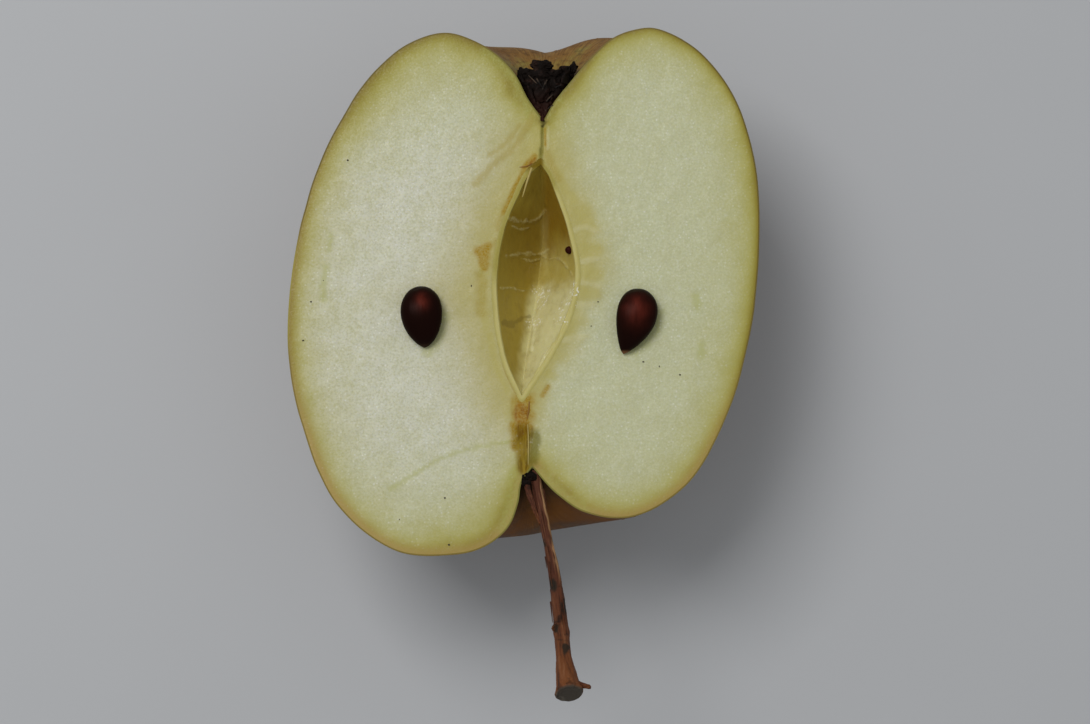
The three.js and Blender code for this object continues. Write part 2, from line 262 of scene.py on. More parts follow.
PALE_MARKS = [
    [0.45, [[6.6, 7.6], [7.8, 8.0], [9.6, 7.4]]],
    [0.45, [[7.6, 3.5], [9.6, 3.8]]],
    [0.4, [[7.4, 0.8], [9.8, 0.3]]],
    [0.45, [[6.8, -2.1], [9.0, -2.3]]],
    [0.5, [[5.2, -6.9], [8.2, -6.4]]],
    [0.2, [[3.2, 21.4], [3.15, 18.4]]],
]
# The marks by name: table, raggedness of their edges, strength.
FACE_MARKS = {
    "tan": (TAN_MARKS, 0.25, 0.55),
    "lemon": (LEMON_MARKS, 0.2, 0.75),
    "amber": (AMBER_MARKS, 0.2, 0.85),
    "rust": (RUST_MARKS, 0.3, 0.6),
    "strand": (STRAND_MARKS, 0.08, 0.9),
    "olive": (OLIVE_MARKS, 0.2, 0.7),
    "green": (GREEN_MARKS, 0.35, 0.5),
    "pale": (PALE_MARKS, 0.25, 0.45),
    "dark": (DARK_MARKS, 0.3, 0.9),
}
SPECKS = [
    [-23.2, 16.9], [-26.3, 1.0], [-27.9, -1.8], [-28.9, -6.9], [-6.9, 0.3], [-10.3, -27.5], [-16.2, -30.3],
    [15.6, -9.7], [17.7, -10.3], [20.4, -11.4], [8.8, -5.0], [9.7, -1.8], [-9.75, -33.6],
]
# Torn fibres: [thickness along it, path], the third number being above the cut face.
PALE_FIBRES = [
    [
        [0.16, 0.15, 0.12, 0.06],
        [[1.0, 15.9, -0.1], [0.5, 14.4, 0.05], [0.1, 13.1, -0.05], [-0.2, 12.1, -0.35]],
    ],
    [[0.06, 0.09, 0.05], [[0.5, -17.9, -0.1], [0.6, -20.4, 0.0], [0.55, -23.2, -0.1]]],
]
BROWN_FIBRES = [
    [[0.1, 0.12, 0.06], [[0.7, -14.9, -0.12], [0.6, -16.2, -0.02], [0.3, -17.8, -0.12]]],
    [[0.05, 0.09, 0.06], [[-0.6, 16.0, -0.08], [0.3, 16.1, 0.0], [1.1, 16.5, -0.1]]],
]
# Marks inside the seed chamber, [half width, path].
CRACKS = [
    [0.28, [[-2.0, 9.2], [-0.4, 9.2], [0.9, 9.5], [1.9, 10.0], [2.6, 11.0]]],
    [0.14, [[-1.5, 8.4], [-0.4, 8.2], [0.7, 8.7]]],
    [0.28, [[-2.4, 4.5], [-1.3, 4.8], [-0.4, 5.2], [0.9, 5.3], [2.2, 5.5], [3.0, 5.9]]],
    [0.16, [[-0.4, 4.6], [0.9, 4.4], [2.0, 4.8]]],
    [0.14, [[2.2, 5.4], [3.3, 4.6], [4.3, 4.6], [5.1, 3.9], [5.7, 3.0], [6.3, 1.9]]],
    [0.13, [[-3.0, 0.1], [-1.7, 0.4], [-0.4, 0.2], [0.9, 0.6]]],
]
# Where the chamber's two walls meet, [across, along].
CHAMBER_FOLD = [
    [2.3, 16.4], [2.2, 4.0], [0.8, -0.6], [0.4, -2.2],
    [0.0, -5.3], [-0.4, -8.5], [-0.7, -11.6], [-1.0, -14.1],
]
CHAMBER_RIDGES = [
    [0.2, [[3.8, -7.3], [2.3, -9.6], [1.4, -11.9], [0.7, -13.6]]],
    [0.16, [[6.8, 0.2], [6.3, -2.0], [5.4, -4.2], [4.2, -7.6], [2.8, -10.7], [1.0, -13.7]]],
    [0.2, [[1.3, -3.6], [1.2, -6.2], [0.9, -8.0]]],
]
CHAMBER_SPOTS = [
    [0.4, [[-2.6, -4.5], [-1.5, -4.5]]],
    [0.24, [[-1.3, -4.3], [-0.1, -3.4], [0.8, -3.2]]],
]
# Painted wet highlights in the chamber: near-white spots in the colour, [half width, path].
PAINTED_HIGHLIGHTS = [
    [0.8, [[1.6, 0.6], [2.6, -0.3], [2.2, -1.4]]],
    [0.7, [[0.9, -4.0], [1.8, -4.2]]],
    [0.7, [[6.6, 0.4], [6.2, -1.6], [5.2, -2.4]]],
    [0.6, [[4.4, -3.6], [5.2, -4.4]]],
]

# Stage: the place looked at, the soft light and the floor in metres, and the even light all round.
VIEW_AT = (2.75, -9.72)
FLOOR_CORNERS = [(-2, -2, 0), (2, -2, 0), (2, 2, 0), (-2, 2, 0)]
KEY_AT = (-0.232, 0.245, 0.665)
KEY_WIDTH = 0.34
SKY = (0.95, 0.98, 1.0, 1.0)
SKY_POWER = 0.345


def linear(code):
    """An sRGB hex colour as linear RGBA."""
    parts = [int(code[k:k + 2], 16) / 255 for k in (1, 3, 5)]
    return [c / 12.92 if c <= 0.04045 else ((c + 0.055) / 1.055) ** 2.4 for c in parts] + [1.0]


def colour(name, code, description):
    """A colour property that starts from an sRGB hex value."""
    return FloatVectorProperty(
        name=name, description=description, default=linear(code)[:3], subtype="COLOR", min=0.0, max=1.0,
    )


def size(name, millimetres, description):
    """A length property that starts from a value in millimetres."""
    return FloatProperty(
        name=name, description=description, default=millimetres * MM, unit="LENGTH", min=0.0,
    )


class AppleFleshSettings(bpy.types.PropertyGroup):
    """The cut face."""

    flesh: colour("Flesh", "#D0D1A9", "Pale moist flesh well inside the fruit")
    # The whiter flesh makes the left cheek lighter: partly the flesh's own tone, partly painted light from
    # the lamp on that side.
    white: colour("Whiter flesh", "#DEDDC8", "Drier, whiter flesh of the left cheek")
    under_skin: colour("Under the skin", "#B2A820", "Flesh next to the skin")
    by_core: colour("By the core", "#BDB05C", "Flesh next to the seed chamber")
    lemon: colour("Lemon patches", "#C0B566", "Glassy patches beside the chamber")
    amber: colour("Amber patches", "#AE8C2C", "Browned patches beside the chamber")
    rust: colour("Rust streaks", "#A26C1E", "Browned fibres")
    olive: colour("Olive strand", "#766E1C", "Green strand between chamber and stalk")
    # The green also paints the yellowish shadow below and right of each pip.
    green: colour("Green veins", "#B3B45C", "Faint veins in the flesh")
    strand: colour("Golden strand", "#8E7216", "Bundle between chamber and stalk")
    # The grain also sets the size of the cells that carry the painted glints.
    grain: size("Grain", 0.42, "Width of the wet cells that glisten")
    grain_relief: size("Grain relief", 0.05, "How far the cells stand up")


class AppleSkinSettings(bpy.types.PropertyGroup):
    """The skin."""

    ochre: colour("Ochre", "#A07C38", "Golden ground of the russet skin")
    russet: colour("Russet", "#7C5224", "Orange-brown corky patches")
    blush: colour("Blush", "#7A4022", "Red-brown side")
    rim: colour("Cut skin", "#8F7E3F", "Edge of the skin at the cut")
    dots: IntProperty(name="Pores", description="Number of raised pores", default=520, min=0, max=3000)
    dot_radius: size("Pore radius", 0.24, "Radius of one pore")


class AppleCoreSettings(bpy.types.PropertyGroup):
    """The seed chamber."""

    parchment: colour("Parchment", "#B8A342", "Wet lining of the chamber")
    # The fold colour also paints light on the lower right wall, and the browned colour also paints shade
    # high on the far wall.
    bright: colour("Bright folds", "#D8D096", "Pale folds and rim of the lining")
    shade: colour("Shaded lining", "#A0862E", "Darker lining near the calyx")
    brown: colour("Browned lining", "#927220", "Browned lining on the far wall")
    crack: colour("Cracks", "#C8BC80", "Whitish lines where the lining has split")
    spot: colour("Spots", "#6E5A22", "Dark spots in the lining")
    rim: colour("Rim", "#B0A558", "Cut edge of the lining")
    relief: size("Relief", 0.06, "How far cracks and folds stand up")


class AppleCalyxSettings(bpy.types.PropertyGroup):
    """The dried flower end."""

    char: colour("Dry brown", "#150E0A", "Shrivelled leaves")
    warm: colour("Warm brown", "#3A231A", "Lighter ridges of the leaves")
    hair: colour("Hairs", "#5A4838", "Pale dried stamens")
    hairs: IntProperty(name="Stamens", description="Number of dried stamens", default=9, min=0, max=400)


class AppleStalkSettings(bpy.types.PropertyGroup):
    """The stalk."""

    bark: colour("Bark", "#5C3220", "Orange-brown bark")
    streak: colour("Streaks", "#966848", "Pale lengthwise streaks")
    blotch: colour("Blotches", "#24130A", "Dark blotches and cracks")
    cut: colour("Cut end", "#4C443A", "Old grey end of the stalk")
    relief: size("Bark relief", 0.16, "Depth of the lengthwise ridges")
    sides: IntProperty(name="Sides", description="Points round the stalk", default=64, min=12, max=256)


class AppleSeedSettings(bpy.types.PropertyGroup):
    """The pips."""

    coat: colour("Seed coat", "#180906", "Glossy dark brown coat")
    # Partly the coat's own redder brown, partly a painted highlight on the pip's rounded top.
    glow: colour("Warm side", "#5E241A", "Redder brown on the swell of the pip")
    tip: colour("Tip", "#9A6A48", "Paler pointed end")


class AppleStageSettings(bpy.types.PropertyGroup):
    """Floor, light and camera."""

    floor: colour("Floor", "#C4C5C7", "Plain pale floor")
    key_power: FloatProperty(
        name="Key light", description="Power of the soft light", default=2.3, unit="POWER",
    )
    distance: size("Camera distance", 418.8, "From the camera to the cut face")
    elevation: FloatProperty(
        name="Camera elevation", description="Angle of the camera above the horizon",
        default=math.radians(85), unit="ROTATION",
    )
    lens: FloatProperty(name="Lens", description="Focal length in millimetres", default=105.75)


# Shapes ------------------------------------------------------------------------------------


def ease(value, start, end):
    """0 before start, 1 after end and smooth between."""
    part = np.clip((np.asarray(value, float) - start) / (end - start), 0, 1)
    return part * part * (3 - 2 * part)


def mix(a, b, amount):
    """From a at 0 to b at 1."""
    return a + (b - a) * amount


def even_steps(points, steps):
    """steps + 1 points, evenly spaced along a smooth curve through the given ones."""
    knots = np.array(points, float)
    last = len(knots) - 1
    knots = np.vstack([2 * knots[0] - knots[1], knots, 2 * knots[-1] - knots[-2]])
    gaps = np.sum(np.diff(knots, axis=0) ** 2, axis=1) ** 0.25
    place = np.linspace(0, last, 120 * last + 1)
    piece = np.minimum(place.astype(int), last - 1)
    part = (place - piece)[:, None]
    p0, p1, p2, p3 = (knots[piece + k] for k in range(4))
    d0, d1, d2 = (gaps[piece + k][:, None] for k in range(3))
    out = ((p1 - p0) / d0 - (p2 - p0) / (d0 + d1) + (p2 - p1) / d1) * d1
    into = ((p2 - p1) / d1 - (p3 - p1) / (d1 + d2) + (p3 - p2) / d2) * d1
    cubic = 2 * p1 - 2 * p2 + out + into
    square = 3 * p2 - 3 * p1 - 2 * out - into
    track = ((cubic * part + square) * part + out) * part + p1
    lengths = np.append(0, np.cumsum(np.linalg.norm(np.diff(track, axis=0), axis=1)))
    wanted = np.linspace(0, lengths[-1], steps + 1)
    return np.stack([np.interp(wanted, lengths, column) for column in track.T], axis=1)


def scatter(cells, seed):
    """A random value from -1 to 1 for each whole-numbered cell."""
    mixed = cells[..., 0] * 73856093 ^ cells[..., 1] * 19349663 ^ cells[..., 2] * 83492791 ^ seed * 2654435
    mixed = (mixed ^ (mixed >> 13)) * 1274126177
    mixed = (mixed ^ (mixed >> 16)) * 668265263
    return ((mixed >> 7) & 0xFFFFF) / 0x7FFFF - 1.0


def lumps(points, width, seed=1):
    """Smooth random values from -1 to 1 whose lumps are about width mm across."""
    places = np.atleast_2d(points) / width + 31.7 * seed
    cells = np.floor(places).astype(np.int64)
    part = places - cells
    part = part * part * (3 - 2 * part)
    total = np.zeros(len(places))
    for corner in itertools.product((0, 1), repeat=3):
        share = np.prod(np.where(corner, part, 1 - part), axis=1)
        total += share * scatter(cells + np.array(corner), seed)
    return total


def path_distance(points, path):
    """Distance in plan from each point to a path."""
    flat = points[:, :2]
    best = np.full(len(flat), 1e6)
    for start, end in zip(np.array(path, float)[:-1], np.array(path, float)[1:]):
        step = end - start
        part = np.clip((flat - start) @ step / max(step @ step, 1e-9), 0, 1)
        best = np.minimum(best, np.linalg.norm(flat - start - part[:, None] * step, axis=1))
    return best


def marks(points, table, raggedness=0.35):
    """1 on the marks of a table, fading to 0 round them, with uneven edges."""
    shown = np.zeros(len(points))
    wobble = raggedness * (lumps(points, 0.9, 5) + 0.6 * lumps(points, 0.4, 6))
    for width, path in table:
        near = path_distance(points, even_steps(path, 12) if len(path) > 2 else path)
        shown = np.maximum(shown, 1 - ease(near / width + wobble, 0.35, 1.25))
    return shown


def inside(points, loop):
    """Which points lie within a closed loop, in plan."""
    x, y = points[:, 0], points[:, 1]
    within = np.zeros(len(points), bool)
    for (x0, y0), (x1, y1) in zip(loop[:, :2], np.roll(loop[:, :2], -1, axis=0)):
        if y0 != y1:
            within ^= ((y0 > y) != (y1 > y)) & (x < (x1 - x0) * (y - y0) / (y1 - y0) + x0)
    return within


def closed(loop):
    """A loop's path in plan, back to its start."""
    return np.vstack([loop[:, :2], loop[:1, :2]])


def on_face(points):
    """Points measured from the middle of the cut face, in the part's own frame."""
    return np.asarray(points, float) + SHIFT + [0, 0, FACE]


def grid_normals(grid):
    """Unit normals of a grid of points, all on the same side of it."""
    out = np.cross(np.gradient(grid, axis=1), np.gradient(grid, axis=0))
    return out / np.maximum(np.linalg.norm(out, axis=-1, keepdims=True), 1e-9)


def in_plan(loop, distance):
    """A clockwise loop moved inwards by a distance."""
    along = np.roll(loop, -1, axis=0)[:, :2] - np.roll(loop, 1, axis=0)[:, :2]
    along /= np.linalg.norm(along, axis=1)[:, None]
    moved = loop.copy()
    moved[:, 0] += along[:, 1] * distance
    moved[:, 1] -= along[:, 0] * distance
    return moved


class Shell:
    """The points and faces of one closed mesh, in millimetres."""

    def __init__(self):
        self.points = np.zeros((0, 3))
        self.faces = []
        self.finishes = []

    def add(self, points):
        """Takes a grid of points and returns their numbers in the same grid."""
        points = np.asarray(points, float)
        first = len(self.points)
        self.points = np.vstack([self.points, points.reshape(-1, 3)])
        return np.arange(first, len(self.points)).reshape(points.shape[:-1])

    def face(self, corners, finish=0):
        """Adds a face, unless its corners fall together."""
        corners = tuple(dict.fromkeys(int(c) for c in corners))
        if len(corners) > 2:
            self.faces.append(corners)
            self.finishes.append(finish)

    def sheet(self, numbers, finish=0):
        """Faces between the neighbours of a grid."""
        for row, below in zip(numbers[:-1], numbers[1:]):
            for corners in zip(row[:-1], row[1:], below[1:], below[:-1]):
                self.face(corners, finish)

    def half(self, grid, finish=0):
        """Adds a grid whose end rows run together in a point, and returns its numbers."""
        numbers = self.add(grid)
        numbers[0], numbers[-1] = numbers[0, 0], numbers[-1, 0]
        self.sheet(numbers, finish)
        return numbers

    def ring(self, outer, inner, finish=0):
        """Faces between two closed rings of equal count."""
        self.sheet(np.array([np.append(outer, outer[0]), np.append(inner, inner[0])]), finish)

    def mesh(self, name):
        """The shell as a Blender mesh with its faces outward and smooth."""
        used = np.unique(np.fromiter(itertools.chain.from_iterable(self.faces), int))
        place = {int(old): new for new, old in enumerate(used)}
        faces = [[place[c] for c in face] for face in self.faces]
        mesh = bpy.data.meshes.new(name)
        mesh.from_pydata((self.points[used] * MM).tolist(), [], faces)
        mesh.polygons.foreach_set("material_index", self.finishes)
        outward(mesh)
        mesh.shade_smooth()
        return mesh


def outward(mesh):
    """Turns the faces of a closed mesh outward."""
    work = bmesh.new()
    work.from_mesh(mesh)
    bmesh.ops.recalc_face_normals(work, faces=work.faces)
    if work.calc_volume(signed=True) < 0:
        bmesh.ops.reverse_faces(work, faces=work.faces)
    work.to_mesh(mesh)
    work.free()


def places(mesh):
    """A mesh's points in millimetres."""
    values = np.empty(len(mesh.vertices) * 3)
    mesh.vertices.foreach_get("co", values)
    return values.reshape(-1, 3) / MM


def normals(mesh):
    """A mesh's point normals."""
    values = np.empty(len(mesh.vertices) * 3)
    mesh.vertex_normals.foreach_get("vector", values)
    return values.reshape(-1, 3)


def shift(mesh, offsets):
    """Moves a mesh's points by offsets in millimetres."""
    mesh.vertices.foreach_set("co", ((places(mesh) + offsets) * MM).ravel())
    mesh.update()


def crumple(mesh, layers):
    """Dents a mesh along its normals. Each layer is [width, depth, seed]."""
    at = places(mesh)
    dent = sum(depth * (lumps(at, width, seed) - 1) / 2 for width, depth, seed in layers)
    shift(mesh, normals(mesh) * dent[:, None])


def paint(mesh, **masks):
    """Stores a value for each point, or one for all, under each name, for the material to read."""
    for name, values in masks.items():
        layer = mesh.attributes.new(name, "FLOAT", "POINT")
        values = np.broadcast_to(np.asarray(values, np.float32), len(mesh.vertices))
        layer.data.foreach_set("value", np.ascontiguousarray(values))


def place_piece(name, mesh, materials, stands_for=()):
    """Puts a finished mesh into the scene as a piece of the fruit."""
    for number, material in enumerate(materials):
        if number < len(mesh.materials):
            mesh.materials[number] = material
        else:
            mesh.materials.append(material)
    piece = bpy.data.objects.new(name, mesh)
    bpy.context.scene.collection.objects.link(piece)
    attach(piece, "root")
    if stands_for:
        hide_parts(*stands_for)
    return piece


def tube_loop(rows, poles):
    """A closed mesh from closed rings of points and its two end points."""
    shell = Shell()
    numbers = shell.add(rows)
    first, last = shell.add(np.array(poles))
    numbers = np.vstack([np.full(numbers.shape[1], first), numbers, np.full(numbers.shape[1], last)])
    shell.sheet(np.hstack([numbers, numbers[:, :1]]))
    return shell


def egg(radii, along, around):
    """Rings and end points of an egg-shaped body about the origin, long way along y."""
    share = np.linspace(0, math.pi, along)[1:-1, None]
    turn = np.linspace(0, 2 * math.pi, around, endpoint=False)[None, :]
    x = radii[0] * np.sin(share) * np.cos(turn)
    y = radii[1] * np.cos(share) + 0 * turn
    z = radii[2] * np.sin(share) * np.sin(turn)
    return np.stack([x, y, z], axis=-1), np.array([[0, radii[1], 0], [0, -radii[1], 0]])


# Node helpers ------------------------------------------------------------------------------


def node(tree, kind, inputs=None, **settings):
    """Adds a node with its settings, and sets or links the inputs given by name or number.

    A node given as an input stands for its first output.
    """
    made = tree.nodes.new(kind)
    for key, value in settings.items():
        setattr(made, key, value)
    for key, value in (inputs or {}).items():
        if isinstance(value, bpy.types.Node):
            value = value.outputs[0]
        if isinstance(value, bpy.types.NodeSocket):
            tree.links.new(value, made.inputs[key])
        else:
            made.inputs[key].default_value = value
    return made


def wrapped(tree, around, along):
    """A place on a cylinder, from the share of a turn round it and a height."""
    turn = node(tree, "ShaderNodeMath", {0: around, 1: 2 * math.pi}, operation="MULTIPLY")
    sine = node(tree, "ShaderNodeMath", {0: turn}, operation="SINE")
    cosine = node(tree, "ShaderNodeMath", {0: turn}, operation="COSINE")
    return node(tree, "ShaderNodeCombineXYZ", {"X": sine, "Y": cosine, "Z": along}).outputs[0]


# Kinds of nodes that materials make in numbers, with the inputs that their tables give.
NOISE = ("ShaderNodeTexNoise", "Vector", "Scale", "Detail", "Roughness")
RAMP = ("ShaderNodeMapRange", "Value", "From Min", "From Max", "To Min", "To Max")
STRETCH = ("ShaderNodeMapping", "Vector", "Scale")


class Look:
    """A material in the making, with its masks by name. Noise scales are per metre."""

    def __init__(self, name, props=None, stored=()):
        self.material = bpy.data.materials.new(name)
        self.material.use_nodes = True
        self.tree = self.material.node_tree
        self.tree.nodes.clear()
        self.props = props
        self.masks = {"where": node(self.tree, "ShaderNodeTexCoord").outputs["Object"]}
        for label in stored:
            self.masks[label] = node(self.tree, "ShaderNodeAttribute", attribute_name=label).outputs["Fac"]

    def add(self, kind, **table):
        """Adds nodes of one kind by name. In their inputs, a name stands for an earlier one."""
        for name, values in table.items():
            values = (self.masks[value] if isinstance(value, str) else value for value in values)
            self.masks[name] = node(self.tree, kind[0], dict(zip(kind[1:], values))).outputs[0]

    def falloffs(self, **table):
        """Adds masks that are 1 at no distance and die away: (distance, reach, power)."""
        for name, (source, reach, power) in table.items():
            part = self.masks[source]
            for operation, value in (("DIVIDE", reach), ("POWER", power), ("MULTIPLY", -1), ("EXPONENT", 0)):
                part = node(self.tree, "ShaderNodeMath", {0: part, 1: value}, operation=operation)
            self.masks[name] = part.outputs[0]

    def product(self, names):
        """The mask of that name, or masks joined by stars multiplied and kept within 0 and 1."""
        first, *others = names.split("*")
        total = self.masks[first]
        for other in others:
            total = node(
                self.tree, "ShaderNodeMath", {0: total, 1: self.masks[other]}, operation="MULTIPLY",
                use_clamp=True,
            ).outputs[0]
        return total

    def shade(self, code):
        """A hex colour, or the colour of the property with that name, with full alpha."""
        return linear(code) if code[0] == "#" else [*getattr(self.props, code), 1.0]

    def layered(self, ground, **layers):
        """Colours laid over the ground one after another, each shown where its mask is."""
        base = self.shade(ground)
        for names, over in layers.items():
            inputs = {0: self.product(names), 6: base, 7: self.shade(over)}
            base = node(self.tree, "ShaderNodeMix", inputs, data_type="RGBA").outputs[2]
        return base

    def finish(self, base, relief=(), **inputs):
        """Ends the material. A relief is (mask, strength, depth in metres), the lowest first."""
        made = {"Base Color": base}
        for key, value in inputs.items():
            made[key.replace("_", " ")] = self.masks[value] if isinstance(value, str) else value
        for source, strength, depth in relief:
            bump = {"Height": self.masks[source], "Strength": strength, "Distance": depth}
            if "Normal" in made:
                bump["Normal"] = made["Normal"]
            made["Normal"] = node(self.tree, "ShaderNodeBump", bump)
        shader = node(self.tree, "ShaderNodeBsdfPrincipled", made)
        node(self.tree, "ShaderNodeOutputMaterial", {"Surface": shader})
        return self.material


def grown(name, source, tree, values):
    """Runs a geometry node tree on a mesh and returns the result as a plain mesh."""
    holder = bpy.data.objects.new(name + "_source", source)
    bpy.context.scene.collection.objects.link(holder)
    modifier = holder.modifiers.new("Grow", "NODES")
    modifier.node_group = tree
    for item in tree.interface.items_tree:
        if item.item_type == "SOCKET" and item.in_out == "INPUT" and item.name in values:
            modifier[item.identifier] = values[item.name]
    graph = bpy.context.evaluated_depsgraph_get()
    mesh = bpy.data.meshes.new_from_object(
        holder.evaluated_get(graph), preserve_all_data_layers=True, depsgraph=graph,
    )
    mesh.name = name
    holder.modifiers.remove(modifier)
    bpy.data.objects.remove(holder)
    if not mesh.polygons:
        raise RuntimeError(f"{name} came out empty")
    return mesh


def new_tree(name, **sockets):
    """A geometry node tree with one mesh in and out, and its inputs by name.

    Each further input starts from the value given. None stands for a material.
    """
    kinds = {float: "NodeSocketFloat", int: "NodeSocketInt", type(None): "NodeSocketMaterial"}
    tree = bpy.data.node_groups.new(name, "GeometryNodeTree")
    tree.interface.new_socket("Geometry", in_out="INPUT", socket_type="NodeSocketGeometry")
    for label, start in sockets.items():
        made = tree.interface.new_socket(label, in_out="INPUT", socket_type=kinds[type(start)])
        if start is not None:
            made.default_value = start
    tree.interface.new_socket("Geometry", in_out="OUTPUT", socket_type="NodeSocketGeometry")
    return tree, node(tree, "NodeGroupInput").outputs


def finish_tree(tree, geometry, finish):
    """Ends a geometry node tree with a real, smooth mesh in its material."""
    real = node(tree, "GeometryNodeRealizeInstances", {"Geometry": geometry})
    smooth = node(tree, "GeometryNodeSetShadeSmooth", {"Geometry": real})
    done = node(tree, "GeometryNodeSetMaterial", {"Geometry": smooth, "Material": finish})
    node(tree, "NodeGroupOutput", {"Geometry": done})
    return tree


# Finishes ----------------------------------------------------------------------------------


def flesh_material(props):
    """Apple flesh, freshly cut with a knife: wet and glossy, paler deep inside, with near-white painted
    glints on some cells.
    """
    look = Look("apple flesh, knife cut", props, (
        "skin_depth", "core_depth", "whiter", "ochre", "tan", "lemon", "amber", "rust", "strand",
        "olive", "green", "pale", "dark",
    ))
    add_flesh_masks(look, props.grain)
    base = look.layered("flesh", **{
        "whiter": "white", "clouded": "#C9C79A", "dull*amount": "#B4B27C", "light*amount": "#E6E5CE",
        "near_skin": "under_skin", "skin_edge": "#867020", "core_strip": "by_core", "ochre": "#B89E58",
        "green": "green", "lemon": "lemon", "tan": "#B09C40", "amber": "amber", "rust": "rust",
        "strand": "strand", "olive": "olive", "strand*fibre_dark": "#6A500C",
        "strand*fibre_light": "#AC9030", "rust*fibre_dark": "#80501C", "pale": "#D2CB98",
        # Near-black painted shade in the small hole at the chamber's top tip, and the calyx's dark tail.
        # Near-white painted glints on some cells.
        "dot*lottery*gather*sparkle": "#FBFAF0", "dark": "#1E1608",
    })
    return look.finish(
        base, [("fine", 0.8, props.grain_relief), ("broad", 0.5, 0.0002)], Roughness="gloss", IOR=1.38,
        Specular_IOR_Level="shine", Subsurface_Weight=0.2, Subsurface_Radius=(1.0, 0.85, 0.4),
        Subsurface_Scale=0.0008,
    )


def add_flesh_masks(look, grain):
    """Masks of the flesh made from noise, and from the ones stored with the mesh."""
    tree, masks = look.tree, look.masks
    # Clouds are 2 to 3 mm wide, the fine mottle of the cell walls 0.25 mm, and the fibres of the
    # strands 0.3 mm wide and some 2 mm long.
    look.add(STRETCH, lengthwise=("where", (1.0, 0.14, 1.0)))
    look.add(
        NOISE,
        cloud=("where", 330, 4, 0.5),
        broad=("where", 260, 3, 0.5),
        fine=("where", 3600, 2, 0.6),
        fibre=("lengthwise", 3200, 3, 0.5),
    )
    # Some of the wet cells, one every half millimetre or so, get a painted glint: a near-white dot in the
    # colour.
    cells = {"Vector": masks["where"], "Scale": 1.0 / grain}
    cells = node(tree, "ShaderNodeTexVoronoi", cells, feature="F1")
    masks.update(cell=cells.outputs["Distance"], tint=cells.outputs["Color"])
    look.add(
        RAMP,
        clouded=("cloud", 0.42, 0.66, 0, 0.35),
        gather=("cloud", 0.62, 0.4, 0.25, 0.85),
        dull=("fine", 0.52, 0.3, 0, 0.4),
        light=("fine", 0.52, 0.74, 0, 0.6),
        patchy=("fine", 0.34, 0.66, 0.6, 1.2),
        gloss=("fine", 0.4, 0.65, 0.55, 0.3),
        dot=("cell", 0.4, 0.08, 0, 0.75),
        lottery=("tint", 0.5, 0.72, 0, 1),
        fibre_dark=("fibre", 0.5, 0.36, 0, 0.75),
        fibre_light=("fibre", 0.55, 0.68, 0, 0.6),
        amount=("whiter", 0, 1, 0.75, 1.1),
    )
    look.falloffs(
        near_skin=("skin_depth", 3.4, 1.1),
        skin_edge=("skin_depth", 0.72, 1.3),
        near_core=("core_depth", 4.6, 2.0),
    )
    look.add(RAMP, core_strip=("near_core", 0, 1, 0, 0.85))
    for name in ("tan", "lemon", "amber", "rust", "green"):
        masks[name] = look.product(name + "*patchy")
    # The painted glints are stronger on the whiter left cheek and hardly show in the strips by skin and
    # core.
    strips = {0: masks["near_skin"], 1: masks["near_core"]}
    strips = node(tree, "ShaderNodeMath", strips, operation="ADD", use_clamp=True)
    masks["open_flesh"] = node(tree, "ShaderNodeMath", {0: 1.0, 1: strips}, operation="SUBTRACT").outputs[0]
    masks["sparkle"] = look.product("amount*open_flesh")
    masks["marked"] = masks["dark"]
    for name in ("strand", "olive", "amber", "rust"):
        both = {0: masks["marked"], 1: masks[name]}
        masks["marked"] = node(tree, "ShaderNodeMath", both, operation="MAXIMUM").outputs[0]
    look.add(RAMP, shine=("marked", 0, 1, 0.5, 0.02))


def skin_material(props):
    """Apple skin, grown: golden ground with orange-brown russet, finely grained from end to end."""
    look = Look("russet apple skin, grown", props, (
        "blush", "ends", "low_end", "hollow", "skin_line", "line_dark", "line_gold", "line_green",
        "turn", "polar",
    ))
    spun = {"X": look.masks["turn"], "Y": look.masks["polar"]}
    look.masks["spun"] = node(look.tree, "ShaderNodeCombineXYZ", spun).outputs[0]
    # Russet lies in ragged patches 8 to 10 mm wide. The grain runs from calyx to stalk, 0.5 mm wide
    # and some 4 mm long at the widest part. Specks are under 1 mm.
    look.add(STRETCH, drawn=("spun", (60.0, 9.0, 1.0)))
    look.add(
        NOISE,
        broad=("where", 120, 6, 0.62),
        grain=("drawn", 1, 4, 0.5),
        speck=("where", 1300, 5, 0.65),
    )
    look.add(
        RAMP,
        russet=("broad", 0.42, 0.6, 0, 0.85),
        olive=("broad", 0.48, 0.38, 0, 0.9),
        rough=("broad", 0.35, 0.65, 0.45, 0.72),
        grain_dark=("grain", 0.5, 0.34, 0, 0.65),
        grain_light=("grain", 0.54, 0.7, 0, 0.5),
        specked=("speck", 0.5, 0.66, 0, 0.6),
    )
    base = look.layered("ochre", **{
        "blush": "blush", "russet": "russet", "ends": "#86602C", "ends*olive": "#8E883C",
        # The stalk end is darker: partly the skin's own deep brown there, partly painted shade on the
        # underside.
        "grain_light": "#AE8C4A", "grain_dark": "#5C3C18", "specked": "#4A3016", "low_end": "#4C2C08",
        # Near-black painted shade in the hollow round the stalk's foot, over the cavity's own dark skin.
        "low_end*russet": "#7E4C14", "low_end*grain_light": "#94601E", "hollow": "#161006",
        "skin_line": "rim", "line_dark": "#766832", "line_gold": "#A89A48", "line_green": "#8E8A44",
    })
    relief = [("grain", 0.4, 0.00015), ("speck", 0.5, 0.00012)]
    return look.finish(base, relief, Roughness="rough", IOR=1.45, Specular_IOR_Level=0.2)


